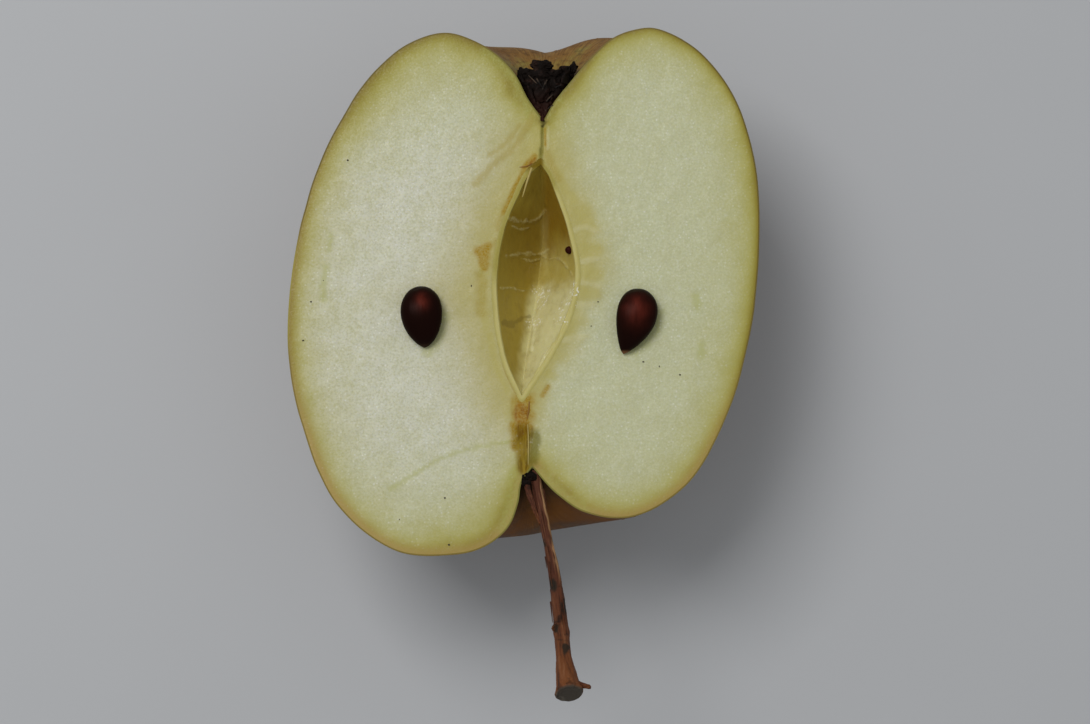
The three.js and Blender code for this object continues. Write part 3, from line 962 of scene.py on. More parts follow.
def lining_material(props):
    """Core parchment, grown: a thin wet yellow film with pale splits and a pale cut rim; painted shade
    darkens its left and upper walls and painted light lightens the lower right wall.
    """
    look = Look("apple core parchment, wet", props, (
        "shade", "brown", "bright", "crack", "spot", "glint", "rim", "rim_pale", "rim_brown",
        "rim_out",
    ))
    # The mottle is 1 to 2 mm wide, the beads 0.4 mm, and the fibres run lengthwise. The beads break up the
    # painted wet highlights and the edges of the cracks.
    look.add(STRETCH, lengthwise=("where", (1.0, 0.25, 1.0)))
    look.add(
        NOISE,
        mottle=("where", 800, 3, 0.55),
        beads=("where", 2600, 2, 0.5),
        fibre=("lengthwise", 2200, 4, 0.5),
    )
    # A faint net of fine splits, about 1 mm across.
    net = {"Vector": look.masks["where"], "Scale": 950.0}
    net = node(look.tree, "ShaderNodeTexVoronoi", net, feature="DISTANCE_TO_EDGE")
    look.masks["net"] = net.outputs["Distance"]
    look.add(
        RAMP,
        light=("mottle", 0.52, 0.72, 0, 0.45),
        dull=("mottle", 0.48, 0.3, 0, 0.25),
        split=("net", 0.07, 0, 0, 0.7),
        bead=("beads", 0.54, 0.66, 0, 0.85),
        ragged=("beads", 0.4, 0.55, 0.35, 1.3),
        wet=("rim", 0, 1, 0.3, 0),
    )
    base = look.layered("parchment", **{
        # Painted shade on the left and upper walls, painted light on the lower right wall.
        "shade": "shade", "brown": "brown", "bright": "bright", "light*bright": "#E2DAA0",
        "dull": "#8A7022", "split*light*bright": "#E6DEB8", "crack*ragged": "crack", "spot": "spot",
        "rim": "rim", "rim_pale": "#D0C580", "rim_out": "#C0B46A", "rim_brown": "#7C6618",
        # Near-white painted wet highlights.
        "bead*glint": "#F8F5E4",
    })
    return look.finish(
        base, [("fibre", 0.35, 0.0001)], Roughness=0.38, IOR=1.42, Subsurface_Weight=0.15,
        Subsurface_Radius=(1.0, 0.8, 0.3), Subsurface_Scale=0.001, Specular_IOR_Level="wet",
        Coat_Weight="wet", Coat_Roughness=0.12,
    )


def calyx_material(props):
    """Calyx leaves, dried on the fruit: almost black, matt, a little warm on folds 1 mm wide."""
    look = Look("calyx leaf, dried", props, ("warm",))
    look.add(NOISE, fold=("where", 900, 6, 0.65))
    look.add(RAMP, ridge=("fold", 0.54, 0.72, 0, 0.7), rough=("fold", 0.3, 0.7, 0.8, 0.45))
    base = look.layered("char", warm="#3A211A", ridge="warm")
    return look.finish(base, [("fold", 0.9, 0.0003)], Roughness="rough", IOR=1.45, Specular_IOR_Level=0.1)


def stalk_material(props):
    """Stalk bark, dried: ridges pale where rubbed, blotches 3 mm wide and an old grey end."""
    look = Look("apple stalk bark, dried", props, ("along", "around", "cut", "spots", "edge_light"))
    look.masks["round"] = wrapped(look.tree, look.masks["around"], look.masks["along"])
    look.add(STRETCH, drawn=("round", (1.4, 1.4, 4.5)))
    look.add(
        NOISE,
        streak=("drawn", 1.6, 6, 0.65),
        blotch=("where", 330, 4, 0.6),
        grit=("where", 3500, 3, 0.5),
    )
    look.add(
        RAMP,
        rubbed=("streak", 0.54, 0.7, 0, 0.6),
        dark=("streak", 0.48, 0.36, 0, 0.75),
        outer_end=("along", 0.5, 0.95, 0, 0.75),
        blotched=("blotch", 0.57, 0.66, 0, 0.85),
    )
    base = look.layered("bark", **{
        # A painted highlight runs along the stalk's right side.
        "outer_end": "#804A24", "rubbed": "streak", "edge_light": "#C09468", "dark": "#33180E",
        "blotched": "blotch", "spots": "#241F16", "cut": "cut", "cut*rubbed": "#7A7264",
    })
    relief = [("streak", 0.9, 0.0003), ("grit", 0.4, 0.0001)]
    return look.finish(base, relief, Roughness=0.62, IOR=1.45, Specular_IOR_Level=0.25)


def seed_material(props):
    """Pip coat, grown: hard, glossy and dark red-brown, with lengthwise lines 0.4 mm wide."""
    look = Look("apple pip coat, glossy", props, ("swell", "tip"))
    look.add(STRETCH, lengthwise=("where", (1.0, 0.12, 1.0)))
    look.add(NOISE, streak=("lengthwise", 2600, 4, 0.6))
    look.add(RAMP, streaked=("streak", 0.4, 0.7, 0, 0.35))
    # The redder patch is partly the coat's own colour, partly a painted highlight.
    base = look.layered("coat", swell="glow", streaked="#140604", tip="tip")
    return look.finish(
        base, [("streak", 0.35, 0.00012)], Roughness=0.36, IOR=1.5, Specular_IOR_Level=0.06,
        Specular_Tint=(1.0, 0.62, 0.55, 1.0),
    )


def two_tone(name, ground, over, noise, roughness, span=(0, 1, 0, 1), relief=(), props=None, ior=1.45):
    """A plain material of two shades. The noise is (scale, detail, roughness), the span a ramp's."""
    look = Look(name, props)
    look.add(NOISE, tint=("where", *noise))
    look.add(RAMP, shaded=("tint", *span))
    return look.finish(look.layered(ground, shaded=over), relief, Roughness=roughness, IOR=ior)


def hair_material(props):
    """Stamen threads, dried: dull straw brown, darker every millimetre or two."""
    span = (0.4, 0.56, 0, 1)
    return two_tone("stamen thread, dried", "char", "hair", (700, 2, 0.5), 0.8, span, props=props)


def floor_material(props):
    """Laminate board, moulded: plain, pale and smooth, with faint clouds 70 mm wide."""
    span = (0.35, 0.7, 0, 0.35)
    return two_tone("pale laminate, moulded", "floor", "#BDBEC0", (14, 3, 0.5), 0.6, span, props=props)


def pore_material():
    """Skin pores, grown: corky, matt and paler than the skin, mottled 1.5 mm wide."""
    return two_tone("apple skin pore, corky", "#9C7C48", "#7E5C30", (600, 2, 0.5), 0.8)


def speck_material():
    """Dust specks, dry: dark and matt, with tints 0.4 mm wide."""
    return two_tone("dust speck, dry", "#2A241A", "#4E4430", (2500, 2, 0.5), 0.85)


def fibre_material(name, light, dark):
    """Core fibre, torn by the knife: moist, with darker stretches 1 mm long."""
    return two_tone(name, light, dark, (900, 3, 0.5), 0.42, relief=[("tint", 0.4, 0.0001)], ior=1.4)


# The fruit ---------------------------------------------------------------------------------


def cheek_grid(along, around):
    """Points of the skin: rows from calyx to stalk, columns from the right cheek round to the left."""
    left = even_steps(LEFT_CHEEK, along)
    right = even_steps(RIGHT_CHEEK, along)
    share = np.linspace(0, 1, along + 1)[:, None]
    turn = np.linspace(0, math.pi, around + 1)[None, :]
    to_left = (1 - np.cos(turn)) / 2
    to_back = np.sin(turn) ** 2
    wave = np.cos(RIB_COUNT * (turn - RIB_TURN))
    pinched = 2 * np.sqrt((1 + wave) / 2) - 1
    rib = to_back * wave
    rib_depth = mix(RIB_AT_CALYX, RIB_AT_STEM, ease(share, 0.1, 0.55))
    shoulder = 1 - ease(share, 0.1, 0.4)
    rise = RIB_RISE * to_back * mix(wave, pinched, RIB_PINCH) * (1 - LEFT_SHARE * to_left)
    stem_dip = mix(STEM_DIP_RIGHT, STEM_DIP_LEFT, ease(to_left, 0.5, 0.8))
    dip = stem_dip * to_back * ease(share, 0.7, 0.85)
    radius = mix(right[:, :1], left[:, :1], to_left)
    height = mix(right[:, 1:], left[:, 1:], to_left)
    radius = radius * (1 + rib * rib_depth * ease(share, 0, 0.1))
    height = height + rise * shoulder * ease(share, 0.02, 0.16)
    height = height + dip * (1 - ease(share, 0.88, 1))
    across = AXIS_X + AXIS_LEAN * height + radius * np.cos(turn)
    return np.stack([across, height, FACE - radius * np.sin(turn)], axis=-1) + SHIFT


def skin_grid():
    """The skin with its shallow dents, resting flat on its spot."""
    grid = cheek_grid(SKIN_ALONG, SKIN_AROUND)
    out = grid_normals(grid)
    out *= np.sign(np.sum(out * (grid - [1.8, 0.0, FACE]), axis=-1).mean())
    flat = grid.reshape(-1, 3)
    dents = 0.08 * (1 + lumps(flat, 5.5, 11)) / 2 + 0.05 * (1 + lumps(flat, 2.2, 12)) / 2
    upper_left = ease(-flat[:, 0], 12, 24) * ease(flat[:, 1], 0, 8)
    dents += upper_left * (0.13 * lumps(flat, 3.4, 13) - 0.02)
    share = np.linspace(0, 1, SKIN_ALONG + 1)[:, None]
    fade = ease(share, 0.0, 0.04) * (1 - ease(share, 0.96, 1.0))
    grid = grid - out * dents.reshape(grid.shape[:2])[..., None] * fade[..., None]
    grid[..., 2] = np.clip(grid[..., 2], 0, FACE)
    return grid


def chamber_grid(along, around, grow, cushion=0.0):
    """Points of the seed chamber's wall, from its calyx end down, right rim to left rim.

    A cushion fills the lower right of the chamber, from 0 for none to 1.
    """
    left = even_steps(CORE_LEFT, along)[:, None, :]
    right = even_steps(CORE_RIGHT, along)[:, None, :]
    floor = even_steps(CORE_FLOOR, along)[:, None, :]
    share = np.linspace(0, 1, along + 1)[:, None]
    turn = np.linspace(0, math.pi, around + 1)[None, :]
    side = np.cos(turn)
    soft = CREASE if cushion else 0.0
    reach = (np.sqrt(side ** 2 + soft ** 2) - soft) / (math.sqrt(1 + soft ** 2) - soft)
    rim = np.where(side[..., None] < 0, left, right)
    endward = 1 - 2 * share
    fullness = np.maximum(1 - endward ** 2, 0) ** CORE_FULLNESS
    shallow = 1 - CORE_SHALLOWING * ease(share, 0.35, 0.75)
    depth = (CORE_DEPTH * shallow + 1.3 * grow) * fullness
    plan = mix(floor, rim, reach[..., None])
    across = plan[..., 0] + grow * side * np.sqrt(fullness)
    height = plan[..., 1] + 1.3 * grow * endward ** 3
    filled = cushion * ease(side, 0.0, 0.25) * ease(share, 0.42, 0.72)
    below = depth * (1 - reach ** mix(CORE_ROUNDING, 0.8, filled))
    return np.stack([across, height, FACE - below], axis=-1) + SHIFT


def rim_loop(grid):
    """The rim of a half-loft as one clockwise loop: right column down, left column up."""
    return np.concatenate([grid[:, 0], grid[-2:0:-1, -1]])


def honeycomb(low, high, step):
    """Points on a honeycomb over a rectangle."""
    rows = np.arange(low[1], high[1], step * math.sqrt(3) / 2)
    points = []
    for number, height in enumerate(rows):
        across = np.arange(low[0] + step / 2 * (number % 2), high[0], step)
        points.append(np.stack([across, np.full(len(across), height)], axis=1))
    return np.vstack(points)


def face_points(outer, hole):
    """Loose points that fill the cut face, closer together round the chamber."""
    low, high = outer[:, :2].min(axis=0), outer[:, :2].max(axis=0)
    filled = []
    for step, near, far in FACE_STEPS:
        points = honeycomb(low, high, step)
        core = np.minimum(path_distance(points, closed(hole)) + 0.4, path_distance(points, CORE_LINE))
        points = points[(core >= near) & (core < far)]
        points = points[inside(points, outer) & ~inside(points, hole)]
        edge = path_distance(points, closed(outer))
        rim = path_distance(points, closed(hole))
        filled.append(points[(edge > 0.5 * step) & (rim > 0.6 * step)])
    return np.vstack(filled)


def fill_face(shell, outer_numbers, hole_numbers, finish):
    """Triangles over the cut face between the outline and the chamber."""
    outer, hole = shell.points[outer_numbers], shell.points[hole_numbers]
    loose = face_points(outer, hole)
    loose_numbers = shell.add(np.column_stack([loose, np.full(len(loose), FACE)]))
    numbers = np.concatenate([outer_numbers, hole_numbers, loose_numbers])
    flat = [Vector(point[:2]) for point in shell.points[numbers]]
    first, second = len(outer), len(hole)
    edges = [(k, (k + 1) % first) for k in range(first)]
    edges += [(first + k, first + (k + 1) % second) for k in range(second)]
    _, _, faces, origins, _, _ = delaunay_2d_cdt(flat, edges, [], 0, 1e-5, True)
    corners = np.array([[numbers[origins[c][0]] for c in face] for face in faces])
    centres = shell.points[corners].mean(axis=1)
    for face in corners[inside(centres, outer) & ~inside(centres, hole)]:
        shell.face(face, finish)


def fruit_mesh():
    """The halved fruit as one closed mesh: skin, cut face and the hollow for the lining."""
    shell = Shell()
    grid = skin_grid()
    grid[:, [0, -1], 2] = FACE - SKIN_DROP
    rings = [rim_loop(shell.half(grid))]
    rim = shell.points[rings[0]]
    for inset, drop in ((0.08, 0.02), (SKIN_WIDTH, 0.0), (0.6, 0.0)):
        ring = in_plan(rim, inset)
        ring[:, 2] = FACE - drop
        rings.append(shell.add(ring))
    for ring, following, finish in zip(rings, rings[1:], (0, 0, 1)):
        shell.ring(ring, following, finish)
    hollow = shell.half(chamber_grid(120, 40, LINING_WALL - 0.06), 1)
    fill_face(shell, rings[-1], rim_loop(hollow), 1)
    return shell.mesh("apple_half"), rim


def by_notches(x, y):
    """1 in the strip through calyx and stalk beyond the core, 0 elsewhere."""
    return (1 - ease(np.abs(x - 2), 2.5, 8.5)) * np.clip(ease(y, 20, 23) + ease(-y, 20, 23), 0, 1)


def flesh_masks(x, y, edge, core, cloud):
    """How the flesh changes by skin and core and from cheek to cheek."""
    low_right = ease(x, 1.5, 5) * ease(-y, -1, 4)
    yellow_end = (1 - ease(np.abs(x + 3), 4, 14)) * ease(-y, 22, 30)
    top_left = ease(y, 12, 28) * (1 - ease(x, -2, 4))
    depth = edge * (1 + 0.22 * cloud) * (1 + 0.2 * ease(x, 2, 12))
    depth *= (1 - 0.45 * yellow_end) * (1 - 0.35 * top_left)
    beside = ease(-x, -2, 1) * np.exp(-((y + 1.5) / 4) ** 2)
    core_scale = (1 + low_right) * (mix(0.78, 1.2, ease(x, 0, 4)) - 0.33 * beside)
    ochre = 0.9 * ease(-y, 8, 24) + 0.3 * ease(-x, 8, 24) * (1 - ease(y, 10, 30))
    return {
        "skin_depth": np.maximum(depth - 0.4 * by_notches(x, y), np.minimum(depth, 0.45)).clip(0),
        "core_depth": ((core + 0.6 * cloud) * core_scale).clip(0),
        # Lighter towards the left cheek: partly the flesh's own tone, partly painted light from the left.
        "whiter": (1 - ease(x + 3 * cloud, -3, 6)) * (1 - 0.75 * ease(np.abs(y + 2) + 2 * cloud, 12, 32)),
        "ochre": np.clip(ochre * np.exp(-(edge / 1.1) ** 2), 0, 1),
        "lemon": 1 - 0.5 * low_right,
    }


def skin_masks(at, cloud):
    """How the skin changes over the fruit and along its cut edge."""
    x, y = at[:, 0], at[:, 1]
    left, right = ease(-x, 8, 24), ease(x, 14, 30)
    cut = np.where(at[:, 2] > FACE - 0.13, 1.0, 0.0)
    dark = 0.8 * left * ease(y, 5, 12) + 0.85 * right * ease(y, -22, 0) + 0.6 * ease(y, 10, 30)
    across = x - SHIFT[0] - AXIS_X - AXIS_LEAN * y
    root = np.linalg.norm(at - np.array([1.2, -24.0, FACE - 1.0]), axis=1)
    return {
        "skin_line": 0.92 * cut,
        "line_dark": cut * np.clip(dark, 0, 1),
        "line_gold": cut * 0.85 * left * ease(y, -10, -5) * (1 - ease(y, 3, 8)),
        "line_green": cut * 0.85 * by_notches(x, y),
        "blush": np.clip(ease(x + 4 * cloud, 8, 30) * 0.8, 0, 1),
        "ends": np.clip(ease(y + 2 * cloud, 20, 31) * 0.7, 0, 1),
        # The stalk end is darker: partly the skin's own deep brown there, partly painted shade on the
        # underside.
        "low_end": np.clip(ease(-y + 2 * cloud, 18, 28) * 0.92, 0, 1),
        # Near-black painted shade in the hollow round the stalk's foot, over the cavity's own dark skin.
        "hollow": np.exp(-(root / 4.2) ** 2),
        "turn": np.arctan2(FACE - at[:, 2], across),
        "polar": np.arctan2(np.hypot(across, FACE - at[:, 2]), y),
    }


def finish_fruit(mesh, rim):
    """Gives the cut face its relief and stores the masks its materials read."""
    at = places(mesh)
    edge = path_distance(at, closed(rim))
    core = path_distance(at, closed(rim_loop(chamber_grid(120, 2, LINING_WALL))))
    cloud = lumps(at, 3.2, 21) + 0.5 * lumps(at, 1.3, 22)
    marked = {name: marks(at, table, ragged) for name, (table, ragged, _) in FACE_MARKS.items()}
    groove = 1 - ease(path_distance(at, OLIVE_MARKS[0][1]), 0.05, 0.3)
    relief = 0.05 * lumps(at, 2.4, 31) + 0.035 * lumps(at, 0.9, 32)
    relief += 0.04 * marked["pale"] + 0.05 * marked["rust"] - 0.2 * groove
    relief -= 0.12 * marked["strand"] + 0.2 * marked["dark"]
    relief = relief * ease(edge, 0.6, 1.6) * ease(core, 0.1, 0.7)
    on_cut = at[:, 2] > FACE - 0.001
    shift(mesh, np.column_stack([np.zeros((len(at), 2)), np.where(on_cut, relief, 0)]))
    masks = {**flesh_masks(at[:, 0], at[:, 1], edge, core, cloud), **skin_masks(at, cloud)}
    for name, (_, _, strength) in FACE_MARKS.items():
        masks[name] = strength * marked[name] * masks.get(name, 1)
    paint(mesh, **masks)


def pushed(tree, geometry, amount):
    """Moves a geometry's points along their normals."""
    facing = node(tree, "GeometryNodeInputNormal")
    offset = node(tree, "ShaderNodeVectorMath", {0: facing, "Scale": amount}, operation="SCALE")
    return node(tree, "GeometryNodeSetPosition", {"Geometry": geometry, "Offset": offset})


def pore_tree():
    """Scatters small raised pores over the marked part of a skin."""
    tree, given = new_tree("Skin pores", Density=60000.0, Radius=0.00024, Seed=7, Finish=None)
    chosen = node(tree, "GeometryNodeInputNamedAttribute", {"Name": "open_skin"}, data_type="FLOAT")
    spread = node(
        tree, "GeometryNodeDistributePointsOnFaces",
        {
            "Mesh": given["Geometry"], "Distance Min": 0.0012, "Density Max": given["Density"],
            "Density Factor": chosen.outputs["Attribute"], "Seed": given["Seed"],
        },
        distribute_method="POISSON",
    )
    ball = node(tree, "GeometryNodeMeshIcoSphere", {"Radius": given["Radius"], "Subdivisions": 2})
    flat = node(tree, "GeometryNodeTransform", {"Geometry": ball, "Scale": (1.0, 1.0, 0.28)})
    sizes = {2: 0.45, 3: 1.15, "Seed": given["Seed"]}
    sizes = node(tree, "FunctionNodeRandomValue", sizes, data_type="FLOAT")
    dots = {"Points": spread, "Instance": flat, "Rotation": spread.outputs["Rotation"]}
    dots = node(tree, "GeometryNodeInstanceOnPoints", {**dots, "Scale": sizes.outputs[1]})
    return finish_tree(tree, dots, given["Finish"])


class APPLE_OT_fruit(bpy.types.Operator):
    """Builds the halved fruit with its cut face and skin"""

    bl_idname = "apple.fruit"
    bl_label = "Fruit half"

    def execute(self, context):
        scene = context.scene
        mesh, rim = fruit_mesh()
        finish_fruit(mesh, rim)
        mesh.set_sharp_from_angle(angle=SHARP)
        finishes = [skin_material(scene.apple_skin), flesh_material(scene.apple_flesh)]
        place_piece("apple_flesh", mesh, finishes, ["fruit_half"])
        return {"FINISHED"}


class APPLE_OT_pores(bpy.types.Operator):
    """Scatters the raised pores over the skin"""

    bl_idname = "apple.pores"
    bl_label = "Skin pores"

    def execute(self, context):
        props = context.scene.apple_skin
        grid = skin_grid()[4:-4, 3:-3]
        bare = np.hypot(grid[..., 0] - 2.3, grid[..., 1] + 28.0) < BARE_RADIUS
        shell = Shell()
        shell.sheet(shell.add(grid))
        mesh = bpy.data.meshes.new("pore_ground")
        mesh.from_pydata((shell.points * MM).tolist(), [], [face[::-1] for face in shell.faces])
        area = sum(polygon.area for polygon in mesh.polygons)
        paint(mesh, open_skin=((grid[..., 2] > 0.25) & ~bare).ravel())
        values = {"Density": props.dots / area, "Radius": props.dot_radius, "Finish": pore_material()}
        pores = grown("skin_pores", mesh, pore_tree(), values)
        place_piece("skin_pores", pores, [values["Finish"]])
        return {"FINISHED"}


# The seed chamber --------------------------------------------------------------------------


def lining_mesh(props):
    """The chamber's lining as a closed film, with its folds, splits and rim."""
    inner = chamber_grid(LINING_ALONG, LINING_AROUND, 0.0, 1.0)
    outer = chamber_grid(LINING_ALONG, LINING_AROUND, LINING_WALL)
    flat = inner.reshape(-1, 3)
    tall = props.relief / MM
    lift = tall * (1.8 * marks(flat, CRACKS, 0.7) + 3.2 * marks(flat, CHAMBER_RIDGES, 0.3))
    lift = lift + 0.05 * lumps(flat, 1.3, 41) + 0.02 * lumps(flat, 0.5, 42)
    turn = np.linspace(0, math.pi, LINING_AROUND + 1)
    share = np.linspace(0, 1, LINING_ALONG + 1)[:, None]
    fade = np.sin(turn)[None, :] ** 0.5 * ease(share, 0, 0.06) * (1 - ease(share, 0.94, 1))
    out = grid_normals(inner)
    out *= np.sign(out[LINING_ALONG // 2, LINING_AROUND // 2, 2])
    inner = inner + out * (lift.reshape(fade.shape) * fade)[..., None]
    shell = Shell()
    first, last = (rim_loop(shell.half(grid)) for grid in (inner, outer))
    rings = [first]
    for share, lift in LINING_RIM:
        ring = mix(shell.points[first], shell.points[last], share)
        ring[:, 2] = FACE + lift + 0.02 * lumps(ring, 0.8, 43)
        rings.append(shell.add(ring))
    for ring, following in zip(rings, [*rings[1:], last]):
        shell.ring(ring, following)
    return shell.mesh("core_lining_film")


def finish_lining(mesh):
    """Stores the masks of the lining's colours."""
    at = places(mesh)
    x, y = at[:, 0], at[:, 1]
    cloud = lumps(at, 2.6, 44) + 0.5 * lumps(at, 1.0, 45) + 0.3 * lumps(at, 0.45, 46)
    rim = 1 - ease(FACE - at[:, 2], 0.05, 0.35)
    beyond = path_distance(at, closed(rim_loop(chamber_grid(120, 2, 0.0))))
    fold_x, fold_y = np.array(CHAMBER_FOLD).T
    to_right = ease(x - np.interp(-y, -fold_y, fold_x) + 0.25 * cloud, -0.8, 0.8)
    seam = 0.12 * (1 - ease(np.abs(x - 2.6 + 0.2 * cloud), 0.2, 0.8))
    seam = seam * ease(y, 3, 5) * (1 - ease(y, 9, 11.5))
    lit = 0.18 * ease(-y, -8, -4) + 0.76 * ease(-y + 0.8 * cloud, -2.4, 0.9)
    tip = ease(y, 15.0, 16.2) * (1 - ease(x, 2.2, 2.8))
    pale_left = ease(-y, -3, 1)
    pale_right = 0.9 * (1 - ease(y, 12.0, 14.0))
    outer = (1 - tip) * ease(beyond + 0.12 * cloud, 0.22, 0.58)
    # The shade mask is painted shade, darker on the left wall and most near the top. The brown mask is the
    # far wall's browner tone with painted shade high on it. The fold mask paints light on the lower right
    # wall as well as the pale folds and the seam.
    paint(
        mesh,
        shade=mix(0.6, 1.0, ease(y + 1.6 * cloud, -2, 8)) * (1 - 0.7 * ease(y, 9, 12)) * (1 - to_right),
        brown=ease(y + 1.2 * cloud, 2.5, 9.0) * to_right,
        bright=np.clip(0.7 * marks(at, CHAMBER_RIDGES, 0.3) + lit * to_right + seam, 0, 1),
        crack=0.6 * marks(at, CRACKS, 1.0),
        spot=0.42 * marks(at, CHAMBER_SPOTS, 0.9),
        glint=marks(at, PAINTED_HIGHLIGHTS, 0.6),
        rim=rim * 0.9,
        rim_pale=rim * mix(pale_left, pale_right, to_right),
        rim_brown=rim * tip,
        rim_out=rim * outer * mix(0.5 + 0.5 * pale_left, 1, to_right),
    )


class APPLE_OT_chamber(bpy.types.Operator):
    """Builds the wet lining of the seed chamber"""

    bl_idname = "apple.chamber"
    bl_label = "Seed chamber"

    def execute(self, context):
        props = context.scene.apple_core
        mesh = lining_mesh(props)
        finish_lining(mesh)
        mesh.set_sharp_from_angle(angle=SHARP)
        place_piece("chamber_lining", mesh, [lining_material(props)], ["core_lining"])
        return {"FINISHED"}


# Rods: stalk, threads and fibres ------------------------------------------------------------


def rod_tree():
    """Sweeps a ring along a path whose points carry a thickness, with lengthwise ridges."""
    tree, given = new_tree("Rough rod", Sides=48, Relief=0.0001, Ridges=1.6, Seed=3.0, Finish=None)
    path = node(tree, "GeometryNodeMeshToCurve", {"Mesh": given["Geometry"]})
    circle = node(tree, "GeometryNodeCurvePrimitiveCircle", {"Resolution": given["Sides"], "Radius": 1.0})
    marked, stored = {}, {}
    for name, curve in (("along", path), ("around", circle)):
        share = node(tree, "GeometryNodeSplineParameter")
        marked[name] = node(
            tree, "GeometryNodeStoreNamedAttribute", {"Geometry": curve, "Name": name, "Value": share},
            data_type="FLOAT", domain="POINT",
        )
    for name in ("along", "around", "thickness"):
        read = node(tree, "GeometryNodeInputNamedAttribute", {"Name": name}, data_type="FLOAT")
        stored[name] = read.outputs["Attribute"]
    sweep = {"Curve": marked["along"], "Profile Curve": marked["around"], "Scale": stored["thickness"]}
    swept = node(tree, "GeometryNodeCurveToMesh", {**sweep, "Fill Caps": True})
    stretch = node(tree, "ShaderNodeMath", {0: stored["along"], 1: 5.0}, operation="MULTIPLY")
    shifted = node(tree, "ShaderNodeMath", {0: stretch, 1: given["Seed"]}, operation="ADD")
    ridges = {"Vector": wrapped(tree, stored["around"], shifted), "Scale": given["Ridges"]}
    ridges = node(tree, "ShaderNodeTexNoise", {**ridges, "Detail": 5.0, "Roughness": 0.6})
    depth = {"Value": ridges, "From Min": 0.3, "From Max": 0.7, "To Min": -1.0, "To Max": 0.0}
    depth = node(tree, "ShaderNodeMapRange", depth)
    scaled = node(tree, "ShaderNodeMath", {0: depth, 1: given["Relief"]}, operation="MULTIPLY")
    return finish_tree(tree, pushed(tree, swept, scaled), given["Finish"])


def path_mesh(name, strands):
    """Loose paths as one mesh. Each strand is (points in mm, thickness in mm at each point)."""
    points, edges, thickness = [], [], []
    for line, widths in strands:
        first = len(points)
        points.extend((np.asarray(line) * MM).tolist())
        thickness.extend(np.asarray(widths) * MM)
        edges.extend((first + k, first + k + 1) for k in range(len(line) - 1))
    mesh = bpy.data.meshes.new(name)
    mesh.from_pydata(points, edges, [])
    paint(mesh, thickness=thickness)
    return mesh


def rod_mesh(name, strands, material, sides=10, relief=0.0, ridges=1.6):
    """Rods along strands as one plain closed mesh."""
    values = {"Sides": sides, "Relief": relief, "Ridges": ridges, "Seed": 3.0, "Finish": material}
    mesh = grown(name, path_mesh(name + "_paths", strands), rod_tree(), values)
    outward(mesh)
    mesh.shade_smooth()
    return mesh


def profile(count, at, values):
    """Values at evenly spaced shares of a line, from those at the given shares."""
    return np.interp(np.linspace(0, 1, count), at, values)


def stem_line(steps):
    """The middle of the stalk and its radius at each point."""
    radii = profile(steps + 1, np.linspace(0, 1, len(STEM_RADII)), STEM_RADII)
    return on_face(even_steps(STEM_PATH, steps)), radii


def stalk_strands():
    """The stalk with a rounded, slightly waisted end, and the spur beside it."""
    path, radii = stem_line(260)
    share = np.linspace(0, 1, 261)
    place, width, swelling = WAIST
    radii = radii - 0.05 + swelling * np.exp(-((share - place) / width) ** 2)
    radii += 0.2 * ease(share, 0.96, 1.0)
    radii[-3:] *= [0.97, 0.9, 0.8]
    aim = (path[-1] - path[-8]) / np.linalg.norm(path[-1] - path[-8])
    direction = np.array(SPUR_AIM) / np.linalg.norm(SPUR_AIM)
    reach = np.linspace(0, SPUR_LENGTH - 0.1, 24)[:, None]
    spur = path[-1] - aim * SPUR_BACK + direction * reach
    spur = spur + np.array([0, 0, 0.2]) * (reach / SPUR_LENGTH) ** 2
    spur_radii = mix(SPUR_RADIUS, SPUR_RADIUS / 2, np.linspace(0, 1, 24)) - 0.04
    spur_radii[-2:] *= [0.9, 0.6]
    torn = on_face(even_steps(TORN_BARK, 40))
    torn_radii = profile(41, [0, 0.1, 0.6, 1], [0.2, 0.46, 0.42, 0.2])
    knob = on_face(even_steps(KNOB, 10))
    knob_radii = profile(11, [0, 0.8, 1], [0.6, 0.55, 0.3])
    return [(path, radii), (spur, spur_radii), (torn, torn_radii), (knob, knob_radii)]


def stalk_fibres():
    """Frayed fibres at the foot of the stalk and along it."""
    path, radii = stem_line(100)
    rng = np.random.default_rng(17)
    strands = []
    for _ in range(14):
        start = int(rng.integers(4, 78))
        length = int(rng.integers(5, 14))
        turn = rng.uniform(0, 2 * math.pi)
        piece = path[start:start + length]
        lift = (radii[start:start + length] + 0.02)[:, None]
        round_it = np.array([math.cos(turn), 0.45 * math.sin(turn), math.sin(turn)])
        fray = np.linspace(0, 1, length)[:, None] ** 3 * rng.uniform(0.0, 0.04)
        widths = np.linspace(0.09, 0.03, length) * rng.uniform(0.7, 1.3)
        strands.append((piece + round_it * (lift + fray), widths))
    return strands


def finish_stalk(mesh):
    """Stores the masks of the bark: cut end, dark spots and a painted highlight along its right side."""
    at = places(mesh)
    path, _ = stem_line(40)
    end = path[-1]
    aim = (end - path[-3]) / np.linalg.norm(end - path[-3])
    spots = np.zeros(len(at))
    for x, y, radius in STALK_SPOTS:
        gap = np.hypot(at[:, 0] - SHIFT[0] - x, 0.6 * (at[:, 1] - SHIFT[1] - y)) + 0.25 * lumps(at, 0.5, 91)
        spots = np.maximum(spots, 0.9 * (1 - ease(gap, 0.6 * radius, 1.3 * radius)))
    middle = np.interp(-at[:, 1], -path[:, 1], path[:, 0])
    beside = at[:, 0] - middle + 0.12 * lumps(at * [1, 0.3, 1], 0.5, 92)
    lit = ease(-at[:, 1], 24.0, 26.0) * (1 - ease(-at[:, 1], 36.0, 39.0))
    paint(
        mesh,
        cut=ease((at - end) @ aim, -0.35, -0.1) * (np.linalg.norm(at - end, axis=1) < 2.2),
        spots=spots,
        edge_light=0.75 * lit * ease(beside, 0.35, 0.5) * (1 - ease(beside, 0.68, 0.82)),
    )


